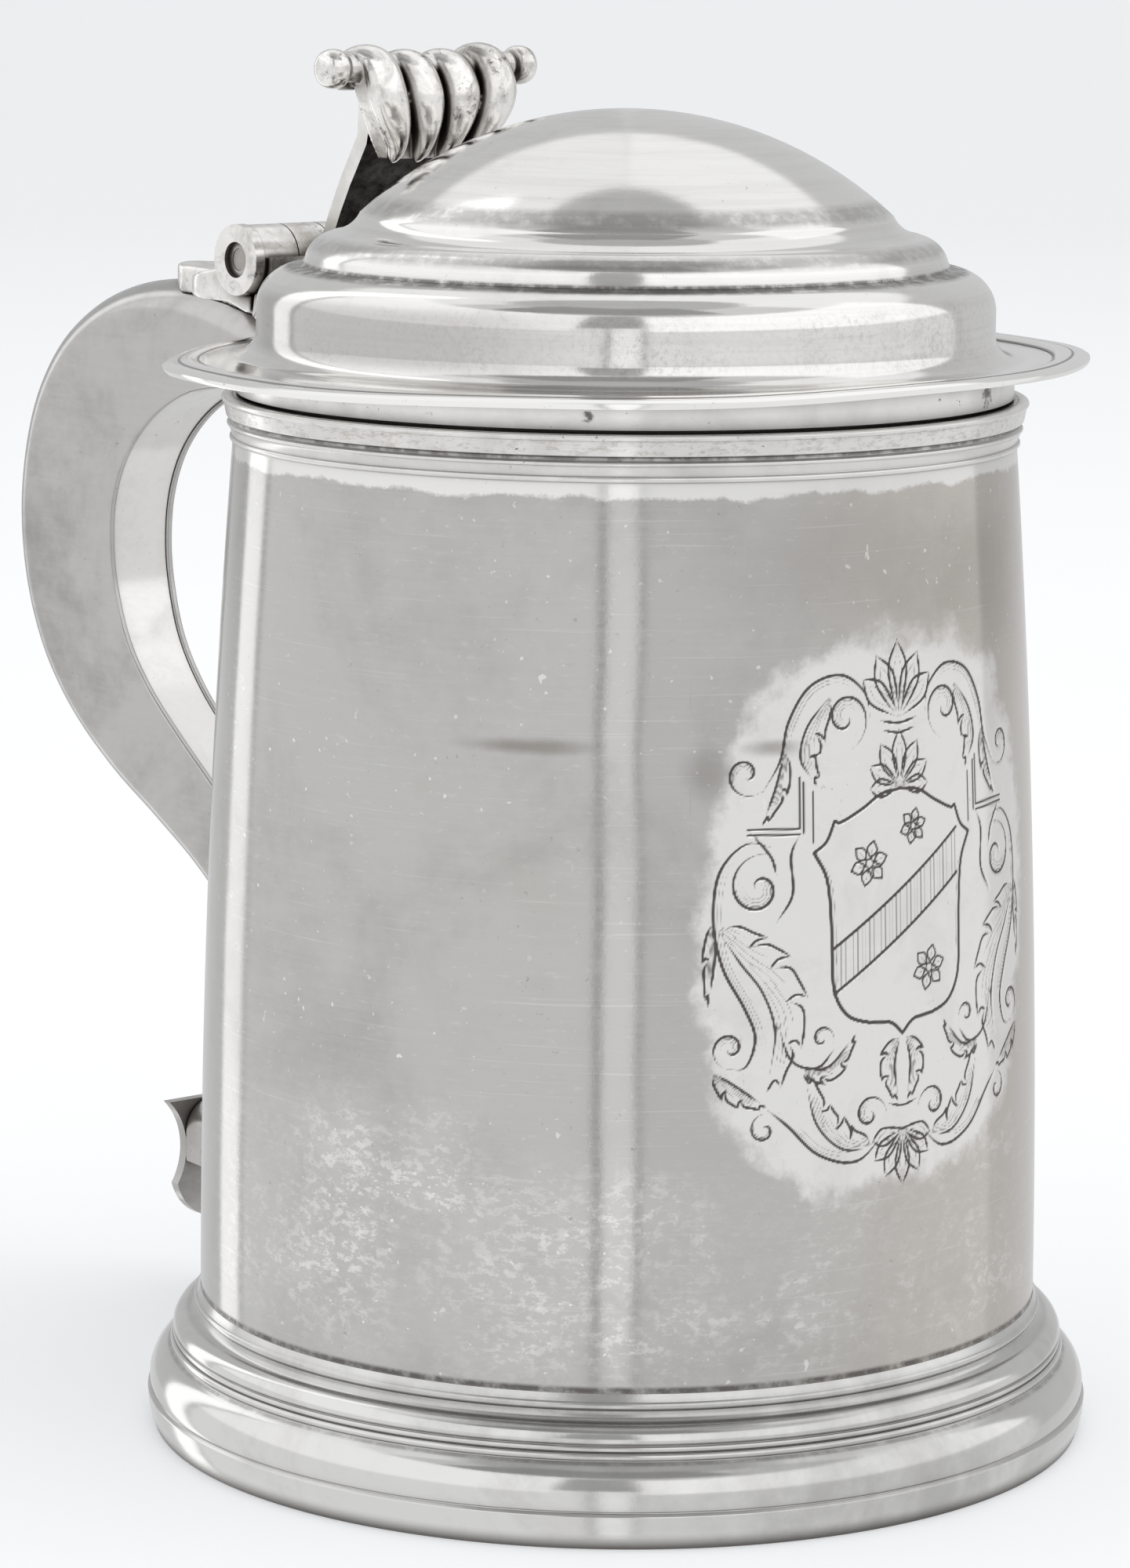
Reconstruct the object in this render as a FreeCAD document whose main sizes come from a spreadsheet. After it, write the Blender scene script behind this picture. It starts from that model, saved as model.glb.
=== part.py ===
"""Lidded tankard: tapering drum on a moulded foot, hollow scroll handle, five-knuckle hinge and domed lid.

Millimetres, +Z up.  The origin is the centre of the foot where it stands on the table.  The handle
points along -X and the hinge axis runs along Y.
"""
import FreeCAD, Part
import math
import os
import PartDesign
import Sketcher

Vector = FreeCAD.Vector

doc = FreeCAD.newDocument("Tankard")
sheet = doc.addObject("Spreadsheet::Sheet", "Sizes")

SIZES = {
    # drum, foot and rim
    "drum_base_radius": 56.3,
    "drum_top_radius": 51.7,
    "drum_bulge_radius": 1545.0,
    "drum_height": 138.5,
    "drum_wall": 1.0,
    "foot_radius": 63.5,
    "foot_height": 18.3,
    "foot_wall": 1.2,
    "floor_height": 14.0,
    "floor_sheet": 1.0,
    "floor_crown": 2.2,
    "rim_width": 1.45,
    "rim_depth": 6.0,
    # lid
    "flange_radius": 61.1,
    "flange_underside": 142.7,
    "lid_sheet": 0.9,
    "lid_wall_radius": 48.6,
    "dome_radius": 35.0,
    "dome_foot": 162.2,
    "lid_top": 175.9,
    "bezel_radius": 49.5,
    "bezel_depth": 9.0,
    "lid_gap": 0.3,
    # hinge
    "hinge_back": 64.4,
    "hinge_height": 152.9,
    "knuckle_radius": 4.8,
    "knuckle_pitch": 6.0,
    "knuckle_gap": 0.2,
    "pin_radius": 1.6,
    "pin_clearance": 0.05,
    "cheek_radius": 4.95,
    "cheek_thickness": 1.5,
    # handle
    "handle_wall": 1.0,
    "strip_sheet": 1.0,
    "terminal_back": 94.2,
    "terminal_sheet": 1.6,
    # thumbpiece
    "bar_back": 42.5,
    "bar_height": 179.9,
    "bar_radius": 2.3,
    "bar_half_length": 14.2,
    "lobe_pitch": 6.45,
    "knob_radius": 2.7,
}


def fill_sheet():
    for row, (alias, value) in enumerate(SIZES.items(), start=1):
        sheet.set("A%d" % row, alias)
        sheet.set("B%d" % row, str(value))
        sheet.setAlias("B%d" % row, alias)
    doc.recompute()


fill_sheet()


def size(alias):
    """The number in a cell of the sheet."""
    return float(sheet.get(alias))


class Cell:
    """A coordinate bound to the sheet: a cell times a factor, plus a constant."""

    def __init__(self, alias, plus=0.0, times=1.0):
        self.value = size(alias) * times + plus
        self.formula = "Sizes.%s * %s + %s" % (alias, repr(times), repr(plus))


def number(coordinate):
    return coordinate.value if isinstance(coordinate, Cell) else float(coordinate)


def formula(coordinate):
    return coordinate.formula if isinstance(coordinate, Cell) else repr(float(coordinate))


def vector(x, y):
    return Vector(number(x), number(y), 0.0)


# ---------------------------------------------------------------------------------------------
# PartDesign helpers
# ---------------------------------------------------------------------------------------------

def origin_feature(body, role):
    for feature in body.Origin.OriginFeatures:
        if feature.Role == role:
            return feature
    raise ValueError(role)


def new_body(label):
    body = doc.addObject("PartDesign::Body", label)
    body.Label = label
    return body


def new_sketch(body, name, plane):
    sketch = body.newObject("Sketcher::SketchObject", name)
    sketch.AttachmentSupport = [(origin_feature(body, plane), "")]
    sketch.MapMode = "FlatFace"
    return sketch


def bind(sketch, first, second, kind, coordinate):
    """Signed distance from first to second along the sketch's X or Y, tied to the sheet."""
    value = number(coordinate)
    if abs(value) < 1e-9:
        axis = -2 if kind == "DistanceX" else -1
        sketch.addConstraint(Sketcher.Constraint("PointOnObject", second[0], second[1], axis))
        return
    if value < 0:
        first, second = second, first
    text = formula(coordinate) if value > 0 else "-(%s)" % formula(coordinate)
    index = sketch.addConstraint(Sketcher.Constraint(kind, *first, *second, abs(value)))
    if isinstance(coordinate, Cell):
        sketch.setExpression("Constraints[%d]" % index, text)


def arc_between(start, end, bend):
    """Arc from start to end with radius |bend|; a positive bend swells to the left of travel."""
    chord = end - start
    half = chord.Length / 2
    radius = abs(bend)
    rise = math.sqrt(max(radius * radius - half * half, 0.0))
    left = Vector(-chord.y, chord.x, 0).normalize()
    side = 1 if bend > 0 else -1
    centre = (start + end) * 0.5 - left * (side * rise)
    middle = centre + left * (side * radius)
    return Part.Arc(start, middle, end)


def outline(sketch, corners):
    """Closed outline.  Each corner is (x, y) or (x, y, bend), bend being the arc that arrives there."""
    count = len(corners)
    edges = []
    for index, corner in enumerate(corners):
        start = vector(*corners[index - 1][:2])
        end = vector(*corner[:2])
        if len(corner) == 3:
            curve = arc_between(start, end, corner[2])
            edge = sketch.addGeometry(curve, False)
            forward = sketch.getPoint(edge, 2).distanceToPoint(end) < 1e-4
            edges.append((edge, 1 if forward else 2, 2 if forward else 1))
            sketch.addConstraint(Sketcher.Constraint("Radius", edge, abs(corner[2])))
        else:
            edge = sketch.addGeometry(Part.LineSegment(start, end), False)
            edges.append((edge, 1, 2))
    for index in range(count):
        edge, _, tail = edges[index]
        following, head, _ = edges[(index + 1) % count]
        sketch.addConstraint(Sketcher.Constraint("Coincident", edge, tail, following, head))
        bind(sketch, (-1, 1), (edge, tail), "DistanceX", corners[index][0])
        bind(sketch, (-1, 1), (edge, tail), "DistanceY", corners[index][1])


def turned(label, corners):
    """A turned or spun piece: an outline of radius and height, revolved about the drum's axis."""
    body = new_body(label)
    sketch = new_sketch(body, label + "_outline", "XZ_Plane")
    outline(sketch, corners)
    turn = body.newObject("PartDesign::Revolution", label + "_turn")
    turn.Profile = sketch
    turn.ReferenceAxis = (sketch, ["V_Axis"])
    turn.Angle = 360.0
    doc.recompute()
    return body


def rod(label, radius, start, end, bore=None):
    """A cylinder along the hinge axis from start to end in Y, with an optional bore."""
    body = new_body(label)
    sketch = new_sketch(body, label + "_circle", "XZ_Plane")
    rings = [radius] if bore is None else [radius, bore]
    for ring in rings:
        centre = Vector(-size("hinge_back"), size("hinge_height"), 0)
        circle = sketch.addGeometry(Part.Circle(centre, Vector(0, 0, 1), number(ring)), False)
        index = sketch.addConstraint(Sketcher.Constraint("Radius", circle, number(ring)))
        if isinstance(ring, Cell):
            sketch.setExpression("Constraints[%d]" % index, ring.formula)
        bind(sketch, (-1, 1), (circle, 3), "DistanceX", Cell("hinge_back", times=-1.0))
        bind(sketch, (-1, 1), (circle, 3), "DistanceY", Cell("hinge_height"))
    pad = body.newObject("PartDesign::Pad", label + "_pad")
    pad.Profile = sketch
    pad.Length = end - start
    # The sketch faces -Y, so the attachment offset along its normal is minus the row's Y.
    sketch.AttachmentOffset = FreeCAD.Placement(Vector(0, 0, -end), FreeCAD.Rotation())
    doc.recompute()
    return body


# ---------------------------------------------------------------------------------------------
# The drum and what is soldered to it
# ---------------------------------------------------------------------------------------------

def make_drum():
    """Raised and tapering wall with a slight belly, open at both ends."""
    base = Cell("drum_base_radius")
    base_inside = Cell("drum_base_radius", plus=-size("drum_wall"))
    top = Cell("drum_top_radius")
    top_inside = Cell("drum_top_radius", plus=-size("drum_wall"))
    belly = size("drum_bulge_radius")
    rim_start = Cell("drum_height", plus=-size("rim_depth"))
    turned("drum", [
        (base, Cell("floor_height", plus=-3.0)),
        (base, Cell("foot_height", plus=0.7)),
        (top, rim_start, -belly),
        (top, Cell("drum_height")),
        (top_inside, Cell("drum_height")),
        (top_inside, rim_start),
        (base_inside, Cell("foot_height", plus=0.7), belly),
        (base_inside, Cell("floor_height", plus=-3.0)),
    ])


def make_floor_disc():
    """The drum's floor, crowned upwards a little and let into the wall."""
    edge = Cell("drum_base_radius", plus=-size("drum_wall"))
    crown = size("floor_crown")
    sheet_thickness = size("floor_sheet")
    span = number(edge)
    bend = (span * span + crown * crown) / (2 * crown)
    turned("floor_disc", [
        (0.0, Cell("floor_height", plus=crown)),
        (edge, Cell("floor_height"), bend),
        (edge, Cell("floor_height", plus=sheet_thickness)),
        (0.0, Cell("floor_height", plus=crown + sheet_thickness), -bend),
    ])


def make_foot_ring():
    """Hollow moulded foot: bead, cove, ovolo, two reeds, a broad torus and a plain skirt."""
    drum = Cell("drum_base_radius")
    wide = "foot_radius"
    wall = size("foot_wall")
    turned("foot_ring", [
        (drum, Cell("foot_height")),
        (Cell(wide, -6.7), Cell("foot_height", -1.0)),
        (Cell(wide, -6.7), Cell("foot_height", -2.1), 0.62),
        (Cell(wide, -6.6), Cell("foot_height", -2.5)),
        (Cell(wide, -5.4), Cell("foot_height", -3.4), -1.3),
        (Cell(wide, -3.45), Cell("foot_height", -5.4), 2.3),
        (Cell(wide, -3.75), Cell("foot_height", -5.8)),
        (Cell(wide, -3.65), Cell("foot_height", -6.65), 0.48),
        (Cell(wide, -3.25), Cell("foot_height", -7.65), 0.6),
        (Cell(wide, -2.95), Cell("foot_height", -7.95)),
        (Cell(wide, -0.35), 5.1, 5.2),
        (Cell(wide, -0.5), 4.8),
        (Cell(wide), 4.4),
        (Cell(wide, -0.9), 0.0, 12.0),
        (Cell(wide, -0.9 - wall), 0.0),
        (Cell(wide, -0.4 - wall), 4.6),
        (Cell(wide, -3.6 - wall), 10.3),
        (drum, 11.6),
    ])


def make_rim_moulding():
    """Applied moulding round the mouth: two beads, a hollow, a reed and a flared band with a lip."""
    wall = Cell("drum_top_radius")
    top = "drum_height"
    turned("rim_moulding", [
        (wall, Cell(top)),
        (wall, Cell(top, -6.0)),
        (Cell("drum_top_radius", 0.12), Cell(top, -6.0)),
        (Cell("drum_top_radius", 0.12), Cell(top, -5.2), -0.42),
        (Cell("drum_top_radius", 0.2), Cell(top, -4.9)),
        (Cell("drum_top_radius", 0.6), Cell(top, -3.95), 2.4),
        (Cell("drum_top_radius", 0.6), Cell(top, -3.45), -0.28),
        (Cell("drum_top_radius", 0.4), Cell(top, -3.2)),
        (Cell("drum_top_radius", 0.4), Cell(top, -2.9)),
        (Cell("drum_top_radius", 0.85), Cell(top, -2.65)),
        (Cell("drum_top_radius", 1.2), Cell(top, -0.85)),
        (Cell("drum_top_radius", 1.2), Cell(top), -0.46),
    ])


# ---------------------------------------------------------------------------------------------
# The lid
# ---------------------------------------------------------------------------------------------

def sphere_radius(reach, rise):
    """Radius of the sphere through the top of a cap and its rim, centred on the drum's axis."""
    return (reach * reach + rise * rise) / (2 * rise)


def make_lid_dome():
    """One raised sheet: crown, two steps, shoulder, upright wall, flare and flat flange."""
    sheet_thickness = size("lid_sheet")
    rise = size("lid_top") - size("dome_foot")
    reach = size("dome_radius")
    crown = sphere_radius(reach, rise)
    inner_crown = sphere_radius(reach - 0.6, rise + 1.1 - sheet_thickness)
    wall = "lid_wall_radius"
    turned("lid_dome", [
        (0.0, Cell("lid_top")),
        (Cell("dome_radius"), Cell("dome_foot"), crown),
        (Cell("dome_radius", 2.6), Cell("dome_foot", -2.3), -4.5),
        (Cell("dome_radius", 3.4), Cell("dome_foot", -2.6)),
        (Cell("dome_radius", 7.2), Cell("dome_foot", -5.8), 4.2),
        (Cell("dome_radius", 7.6), Cell("dome_foot", -6.6)),
        (Cell("dome_radius", 8.6), Cell("dome_foot", -6.9)),
        (Cell(wall), Cell("dome_foot", -11.9), 5.4),
        (Cell(wall), Cell("flange_underside", sheet_thickness + 3.0)),
        (Cell(wall, 3.4), Cell("flange_underside", sheet_thickness), -3.6),
        (Cell("flange_radius", -0.6), Cell("flange_underside", sheet_thickness)),
        (Cell("flange_radius", -0.6), Cell("flange_underside")),
        (Cell(wall, -sheet_thickness), Cell("flange_underside")),
        (Cell(wall, -sheet_thickness), Cell("dome_foot", -12.6)),
        (Cell("dome_radius", 7.4), Cell("dome_foot", -8.2), -5.0),
        (Cell("dome_radius", 2.0), Cell("dome_foot", -3.9)),
        (Cell("dome_radius", -0.6), Cell("dome_foot", -1.1)),
        (0.0, Cell("lid_top", -sheet_thickness), -inner_crown),
    ])


def make_flange_reeding():
    """Drawn wire soldered round the flange: a broad outer reed that wraps the edge and an inner one."""
    edge = "flange_radius"
    top = size("lid_sheet")
    turned("flange_reeding", [
        (Cell(edge, -0.6), Cell("flange_underside")),
        (Cell(edge, -0.6), Cell("flange_underside", top)),
        (Cell(edge, -5.0), Cell("flange_underside", top)),
        (Cell(edge, -2.5), Cell("flange_underside", top + 0.3), 2.8),
        (Cell(edge, -2.2), Cell("flange_underside", top + 0.25)),
        (Cell(edge, -0.15), Cell("flange_underside", top - 0.2), 2.2),
        (Cell(edge, -0.3), Cell("flange_underside"), 0.9),
    ])


def make_lid_bezel():
    """Ring under the flange: a collar that meets the rim and a tongue that drops inside it."""
    collar = Cell("bezel_radius", 1.7)
    tongue = Cell("bezel_radius")
    inside = Cell("bezel_radius", -1.2)
    seat = Cell("drum_height", size("lid_gap"))
    turned("lid_bezel", [
        (inside, Cell("flange_underside")),
        (collar, Cell("flange_underside")),
        (collar, seat),
        (tongue, seat),
        (Cell("bezel_radius", -0.3), Cell("flange_underside", -size("bezel_depth"))),
        (Cell("bezel_radius", -1.3), Cell("flange_underside", -size("bezel_depth"))),
    ])


# ---------------------------------------------------------------------------------------------
# The hinge
# ---------------------------------------------------------------------------------------------

KNUCKLES = ["handle_knuckle_near", "lid_knuckle_near", "handle_knuckle_middle",
            "lid_knuckle_far", "handle_knuckle_far"]


def knuckle_span(index):
    """Y of the two ends of a knuckle, counted from the near end of the barrel."""
    pitch = size("knuckle_pitch")
    gap = size("knuckle_gap") / 2
    start = (index - len(KNUCKLES) / 2) * pitch
    return start + gap, start + pitch - gap


def make_knuckles():
    bore = Cell("pin_radius", size("pin_clearance"))
    for index, label in enumerate(KNUCKLES):
        start, end = knuckle_span(index)
        rod(label, Cell("knuckle_radius"), start, end, bore)


def make_hinge_pin():
    reach = len(KNUCKLES) * size("knuckle_pitch") / 2 + 0.7
    rod("hinge_pin", Cell("pin_radius"), -reach, reach)


def make_hinge_cheek(label, side):
    """Round plate on the end of the barrel, dished round the end of the pin."""
    start = len(KNUCKLES) * size("knuckle_pitch") / 2
    end = start + size("cheek_thickness")
    low, high = sorted((side * start, side * end))
    body = rod(label, Cell("cheek_radius"), low, high, Cell("pin_radius"))
    recess = new_sketch(body, label + "_recess", "XZ_Plane")
    ring = recess.addGeometry(Part.Circle(Vector(-size("hinge_back"), size("hinge_height"), 0),
                                          Vector(0, 0, 1), 2.5), False)
    recess.addConstraint(Sketcher.Constraint("Radius", ring, 2.5))
    bind(recess, (-1, 1), (ring, 3), "DistanceX", Cell("hinge_back", times=-1.0))
    bind(recess, (-1, 1), (ring, 3), "DistanceY", Cell("hinge_height"))
    recess.AttachmentOffset = FreeCAD.Placement(Vector(0, 0, -side * end), FreeCAD.Rotation())
    pocket = body.newObject("PartDesign::Pocket", label + "_dish")
    pocket.Profile = recess
    pocket.Length = 0.7
    pocket.Reversed = side > 0
    before = body.Shape.Volume
    doc.recompute()
    if body.Shape.Volume > before - 1.0:
        pocket.Reversed = not pocket.Reversed
        doc.recompute()


def barrel_cutter(radius, start, end):
    """Solid cylinder round the hinge axis between two values of Y."""
    axis_point = Vector(-size("hinge_back"), start, size("hinge_height"))
    return Part.makeCylinder(radius, end - start, axis_point, Vector(0, 1, 0))


def prism_across(points, half_width):
    """Outline in the XZ plane, drawn out symmetrically in Y."""
    corners = [Vector(x, -half_width, z) for x, z in points]
    face = Part.Face(Part.makePolygon(corners + corners[:1]))
    return face.extrude(Vector(0, 2 * half_width, 0))


def clear_barrel(solid, own_parity):
    """Cut the barrel out of a hinge plate: touching its own knuckles, clear of the other plate's."""
    radius = size("knuckle_radius")
    swing_gap = 0.4
    for index in range(len(KNUCKLES)):
        start, end = knuckle_span(index)
        if index % 2 == own_parity:
            solid = solid.cut(barrel_cutter(radius, start - 0.05, end + 0.05))
        else:
            solid = solid.cut(barrel_cutter(radius + swing_gap, start - 0.35, end + 0.35))
    return solid


def add_shape(label, shape):
    """A piece whose shape is worked out with Part's own functions."""
    feature = doc.addObject("Part::Feature", label)
    feature.Label = label
    feature.Shape = shape
    feature.Placement = FreeCAD.Placement()
    return feature


def make_lid_leaf():
    """The lid's hinge plate: rises off the back of the flange and carries the two inner knuckles."""
    axis = -size("hinge_back")
    flange = size("flange_underside") + size("lid_sheet")
    upright = axis + 5.9
    top = size("hinge_height") + 0.6
    profile = [(axis + 13.0, flange), (axis + 12.4, flange + 0.8), (axis + 8.4, flange + 2.4),
               (upright, flange + 5.0), (upright, top), (axis + 3.0, top),
               (axis + 1.4, flange + 1.6), (axis + 4.2, flange)]
    leaf = prism_across(profile, 14.6).cut(doc.getObject("flange_reeding").Shape)
    add_shape("lid_hinge_leaf", clear_barrel(leaf, 1))


def bracket_plan():
    """Plan of the handle's hinge plate: square front, two side lobes and a long middle tongue."""
    front = -63.7
    half = 14.6
    lobe_back = -81.5
    tongue_back = -99.0
    points = [Vector(front, -half, 0), Vector(-72.0, -half, 0), Vector(lobe_back, -9.6, 0),
              Vector(-83.0, -4.4, 0), Vector(-91.0, -4.6, 0), Vector(tongue_back, 0, 0),
              Vector(-91.0, 4.6, 0), Vector(-83.0, 4.4, 0), Vector(lobe_back, 9.6, 0),
              Vector(-72.0, half, 0), Vector(front, half, 0)]
    edges = [Part.makeLine(points[0], points[1]),
             Part.Arc(points[1], Vector(-79.0, -13.4, 0), points[2]).toShape(),
             Part.Arc(points[2], Vector(-81.2, -6.2, 0), points[3]).toShape(),
             Part.makeLine(points[3], points[4]),
             Part.Arc(points[4], Vector(-97.0, -3.0, 0), points[5]).toShape(),
             Part.Arc(points[5], Vector(-97.0, 3.0, 0), points[6]).toShape(),
             Part.makeLine(points[6], points[7]),
             Part.Arc(points[7], Vector(-81.2, 6.2, 0), points[8]).toShape(),
             Part.Arc(points[8], Vector(-79.0, 13.4, 0), points[9]).toShape(),
             Part.makeLine(points[9], points[10]),
             Part.makeLine(points[10], points[0])]
    return Part.Face(Part.Wire(edges))


def make_hinge_bracket():
    """The handle's hinge plate, bent to the top of the handle and holding the outer knuckles."""
    plan = bracket_plan()
    plan.translate(Vector(0, 0, 130))
    block = plan.extrude(Vector(0, 0, 40))
    top_line = [(-100.0, 150.2), (-80.0, 149.6), (-70.5, 151.6), (-60.0, 150.2)]
    front_line = [(-60.0, 145.8), (-65.0, 145.4), (-69.0, 146.6)]
    slab = prism_across(top_line + front_line + [(-100.0, 147.2)], 20.0)
    web = prism_across([(-60.0, 140.0), (-60.0, 148.0), (-98.0, 148.6), (-98.0, 140.0)], 4.6)
    plate = block.common(slab.fuse(web)).cut(handle_loft(0.0))
    plate = clear_barrel(plate, 0)
    add_shape("hinge_bracket", max(plate.Solids, key=lambda solid: solid.Volume))


# ---------------------------------------------------------------------------------------------
# The handle: a hollow scroll made of a U-shaped back and a flat inner strip
# ---------------------------------------------------------------------------------------------

# Matching stations from the drum over the top bend, down the back and out to the curled tail.
# CREST is the ridge of the rounded back and STRIP the face of the inner strip, both (x, z) on the
# middle plane; HALF_WIDTH is half the handle's width there.
CREST = [(-46.0, 142.0), (-60.0, 142.2), (-72.0, 144.2), (-84.0, 146.6), (-95.5, 147.6),
         (-108.0, 146.4), (-118.8, 142.7), (-128.0, 136.2), (-134.6, 126.4), (-137.9, 113.5),
         (-137.1, 101.0), (-132.9, 90.0), (-125.6, 81.0), (-115.3, 73.3), (-104.0, 67.2),
         (-93.0, 61.0), (-82.6, 53.0), (-74.4, 43.0), (-72.4, 33.4), (-77.4, 27.6),
         (-85.6, 26.2), (-93.0, 26.8)]
STRIP = [(-46.0, 130.4), (-60.0, 131.2), (-70.5, 132.6), (-80.5, 133.2), (-89.3, 132.2),
         (-97.0, 129.2), (-103.0, 125.2), (-107.5, 120.2), (-110.2, 114.2), (-110.9, 107.6),
         (-110.0, 101.0), (-107.2, 93.6), (-102.2, 87.2), (-95.0, 81.0), (-86.2, 74.4),
         (-76.0, 66.0), (-65.8, 55.6), (-56.85, 44.4), (-56.65, 31.0), (-64.0, 20.6),
         (-77.8, 16.8), (-93.0, 17.2)]
HALF_WIDTH = [7.0, 6.9, 6.7, 6.4, 6.1, 5.9, 5.8, 5.8, 5.8, 5.7, 5.6,
              5.4, 5.2, 5.0, 4.9, 4.8, 4.8, 4.8, 4.8, 4.8, 4.9, 5.2]


def handle_section(index, inset, overshoot=0.0, depth=None):
    """U-shaped section at a station: flat on the strip side, straight cheeks and a round back."""
    foot = Vector(STRIP[index][0], 0, STRIP[index][1])
    crest = Vector(CREST[index][0], 0, CREST[index][1])
    out = crest - foot
    length = out.Length - inset
    out.normalize()
    half = HALF_WIDTH[index] - inset
    across = Vector(0, half, 0)
    near = foot - out * overshoot
    if depth is not None:
        far = foot + out * depth
        corners = [near - across, near + across, far + across, far - across]
        return Part.makePolygon(corners + corners[:1])
    spring = foot + out * (length - half)
    back = Part.Arc(spring + across, foot + out * length, spring - across).toShape()
    return Part.Wire([Part.makeLine(near - across, near + across),
                      Part.makeLine(near + across, spring + across), back,
                      Part.makeLine(spring - across, near - across)])


def handle_loft(inset, overshoot=0.0, depth=None):
    sections = [handle_section(index, inset, overshoot, depth) for index in range(len(CREST))]
    return Part.makeLoft(sections, True, False)


def drum_core():
    """Everything inside the outer face of the drum and its rim, to cope the handle against."""
    top = size("drum_height")
    rim_start = top - size("rim_depth")
    base = Vector(size("drum_base_radius"), 0, size("foot_height") + 0.7)
    shoulder = Vector(size("drum_top_radius"), 0, rim_start)
    chord = shoulder - base
    sag = chord.Length ** 2 / (8 * size("drum_bulge_radius"))
    bulge = (base + shoulder) * 0.5 + Vector(sag, 0, 0)
    rim = size("drum_top_radius") + size("rim_width")
    axis_low = Vector(0, 0, 0)
    axis_high = Vector(0, 0, 160)
    edges = [Part.makeLine(axis_low, Vector(base.x, 0, 0)),
             Part.makeLine(Vector(base.x, 0, 0), base),
             Part.Arc(base, bulge, shoulder).toShape(),
             Part.makeLine(shoulder, Vector(rim, 0, rim_start)),
             Part.makeLine(Vector(rim, 0, rim_start), Vector(rim, 0, 160)),
             Part.makeLine(Vector(rim, 0, 160), axis_high),
             Part.makeLine(axis_high, axis_low)]
    face = Part.Face(Part.Wire(edges))
    return face.revolve(Vector(0, 0, 0), Vector(0, 0, 1), 360)


def make_handle():
    core = drum_core()
    wall = size("handle_wall")
    strip_sheet = size("strip_sheet")
    back = handle_loft(0.0).cut(handle_loft(wall, overshoot=1.0)).cut(core)
    strip = handle_loft(wall, depth=strip_sheet).cut(core)
    add_shape("handle_back", back.cut(vent_slot()))
    add_shape("handle_strip", strip)


def vent_slot():
    """Narrow slot in the cheek that let hot air out when the hollow handle was soldered."""
    slot = Part.makeBox(0.8, 4.0, 3.4, Vector(-113.6, -8.0, 101.8))
    return slot


def terminal_plan():
    """Shield outline of the tail plate in the YZ plane: flat head, waist, swell and point."""
    head_half = 8.0
    head = 26.6
    edges = [Part.makeLine(Vector(0, -head_half, head), Vector(0, head_half, head)),
             Part.Arc(Vector(0, head_half, head), Vector(0, 5.0, 19.4),
                      Vector(0, 6.6, 14.0)).toShape(),
             Part.Arc(Vector(0, 6.6, 14.0), Vector(0, 4.6, 10.4), Vector(0, 0, 8.2)).toShape(),
             Part.Arc(Vector(0, 0, 8.2), Vector(0, -4.6, 10.4), Vector(0, -6.6, 14.0)).toShape(),
             Part.Arc(Vector(0, -6.6, 14.0), Vector(0, -5.0, 19.4),
                      Vector(0, -head_half, head)).toShape()]
    return Part.Face(Part.Wire(edges))


def make_handle_terminal():
    face = terminal_plan()
    face.translate(Vector(-size("terminal_back") - 0.4, 0, 0))
    add_shape("handle_terminal", face.extrude(Vector(size("terminal_sheet"), 0, 0)))


# ---------------------------------------------------------------------------------------------
# The thumbpiece
# ---------------------------------------------------------------------------------------------

def make_thumb_standard():
    """Bent plate that stands on the lid's hinge leaf and leans in under the scroll."""
    foot = size("hinge_height") + 0.6
    side = [(-59.6, foot), (-57.2, foot), (-50.4, 163.6), (-46.0, 169.4), (-43.4, 176.6),
            (-45.4, 177.0), (-47.9, 170.6), (-52.2, 164.9)]
    half_front = [(5.9, foot - 1.0), (6.9, 160.0), (7.4, 166.0), (7.9, 171.0), (9.8, 178.0)]
    front = half_front + [(-y, z) for y, z in reversed(half_front)]
    corners = [Vector(-70.0, y, z) for y, z in front]
    outline_face = Part.Face(Part.makePolygon(corners + corners[:1]))
    plate = prism_across(side, 16.0).common(outline_face.extrude(Vector(40, 0, 0)))
    plate = plate.cut(scroll_bar())
    add_shape("thumb_standard", plate.cut(barrel_cutter(size("knuckle_radius") + 0.4, -20, 20)))


def scroll_bar():
    half = size("bar_half_length")
    start = Vector(-size("bar_back"), -half, size("bar_height"))
    return Part.makeCylinder(size("bar_radius"), 2 * half, start, Vector(0, 1, 0))


def reed_outline(index, y, fullness):
    """Side view of a reed at one slice: rolls over the bar, swells forward and tucks in below."""
    roll = 3.3 if index in (0, 3) else 2.5
    bar_x = -size("bar_back")
    bar_z = size("bar_height")
    heart = Vector(bar_x, y, bar_z - 5.0)

    def point(x, z):
        return heart + (Vector(bar_x + x, y, bar_z + z) - heart) * fullness

    back = point(-roll, -0.5)
    brow = point(roll + 0.2, -0.8)
    toe = point(1.2, -12.8)
    heel = point(-1.6, -10.4)
    neck = point(-1.2, -4.4)
    return Part.Wire([Part.Arc(back, point(0, roll), brow).toShape(),
                      Part.Arc(brow, point(5.0, -6.6), toe).toShape(),
                      Part.makeLine(toe, heel), Part.makeLine(heel, neck),
                      Part.makeLine(neck, back)])


def scroll_reed(index):
    """One rounded reed, lofted across its width from slices that are fullest in the middle."""
    width = size("lobe_pitch")
    start = (index - 2) * width
    slices = [(0.02, 0.70), (0.2, 0.9), (0.5, 1.0), (0.8, 0.9), (0.98, 0.70)]
    return Part.makeLoft([reed_outline(index, start + share * width, fullness)
                          for share, fullness in slices], True, False)


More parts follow.
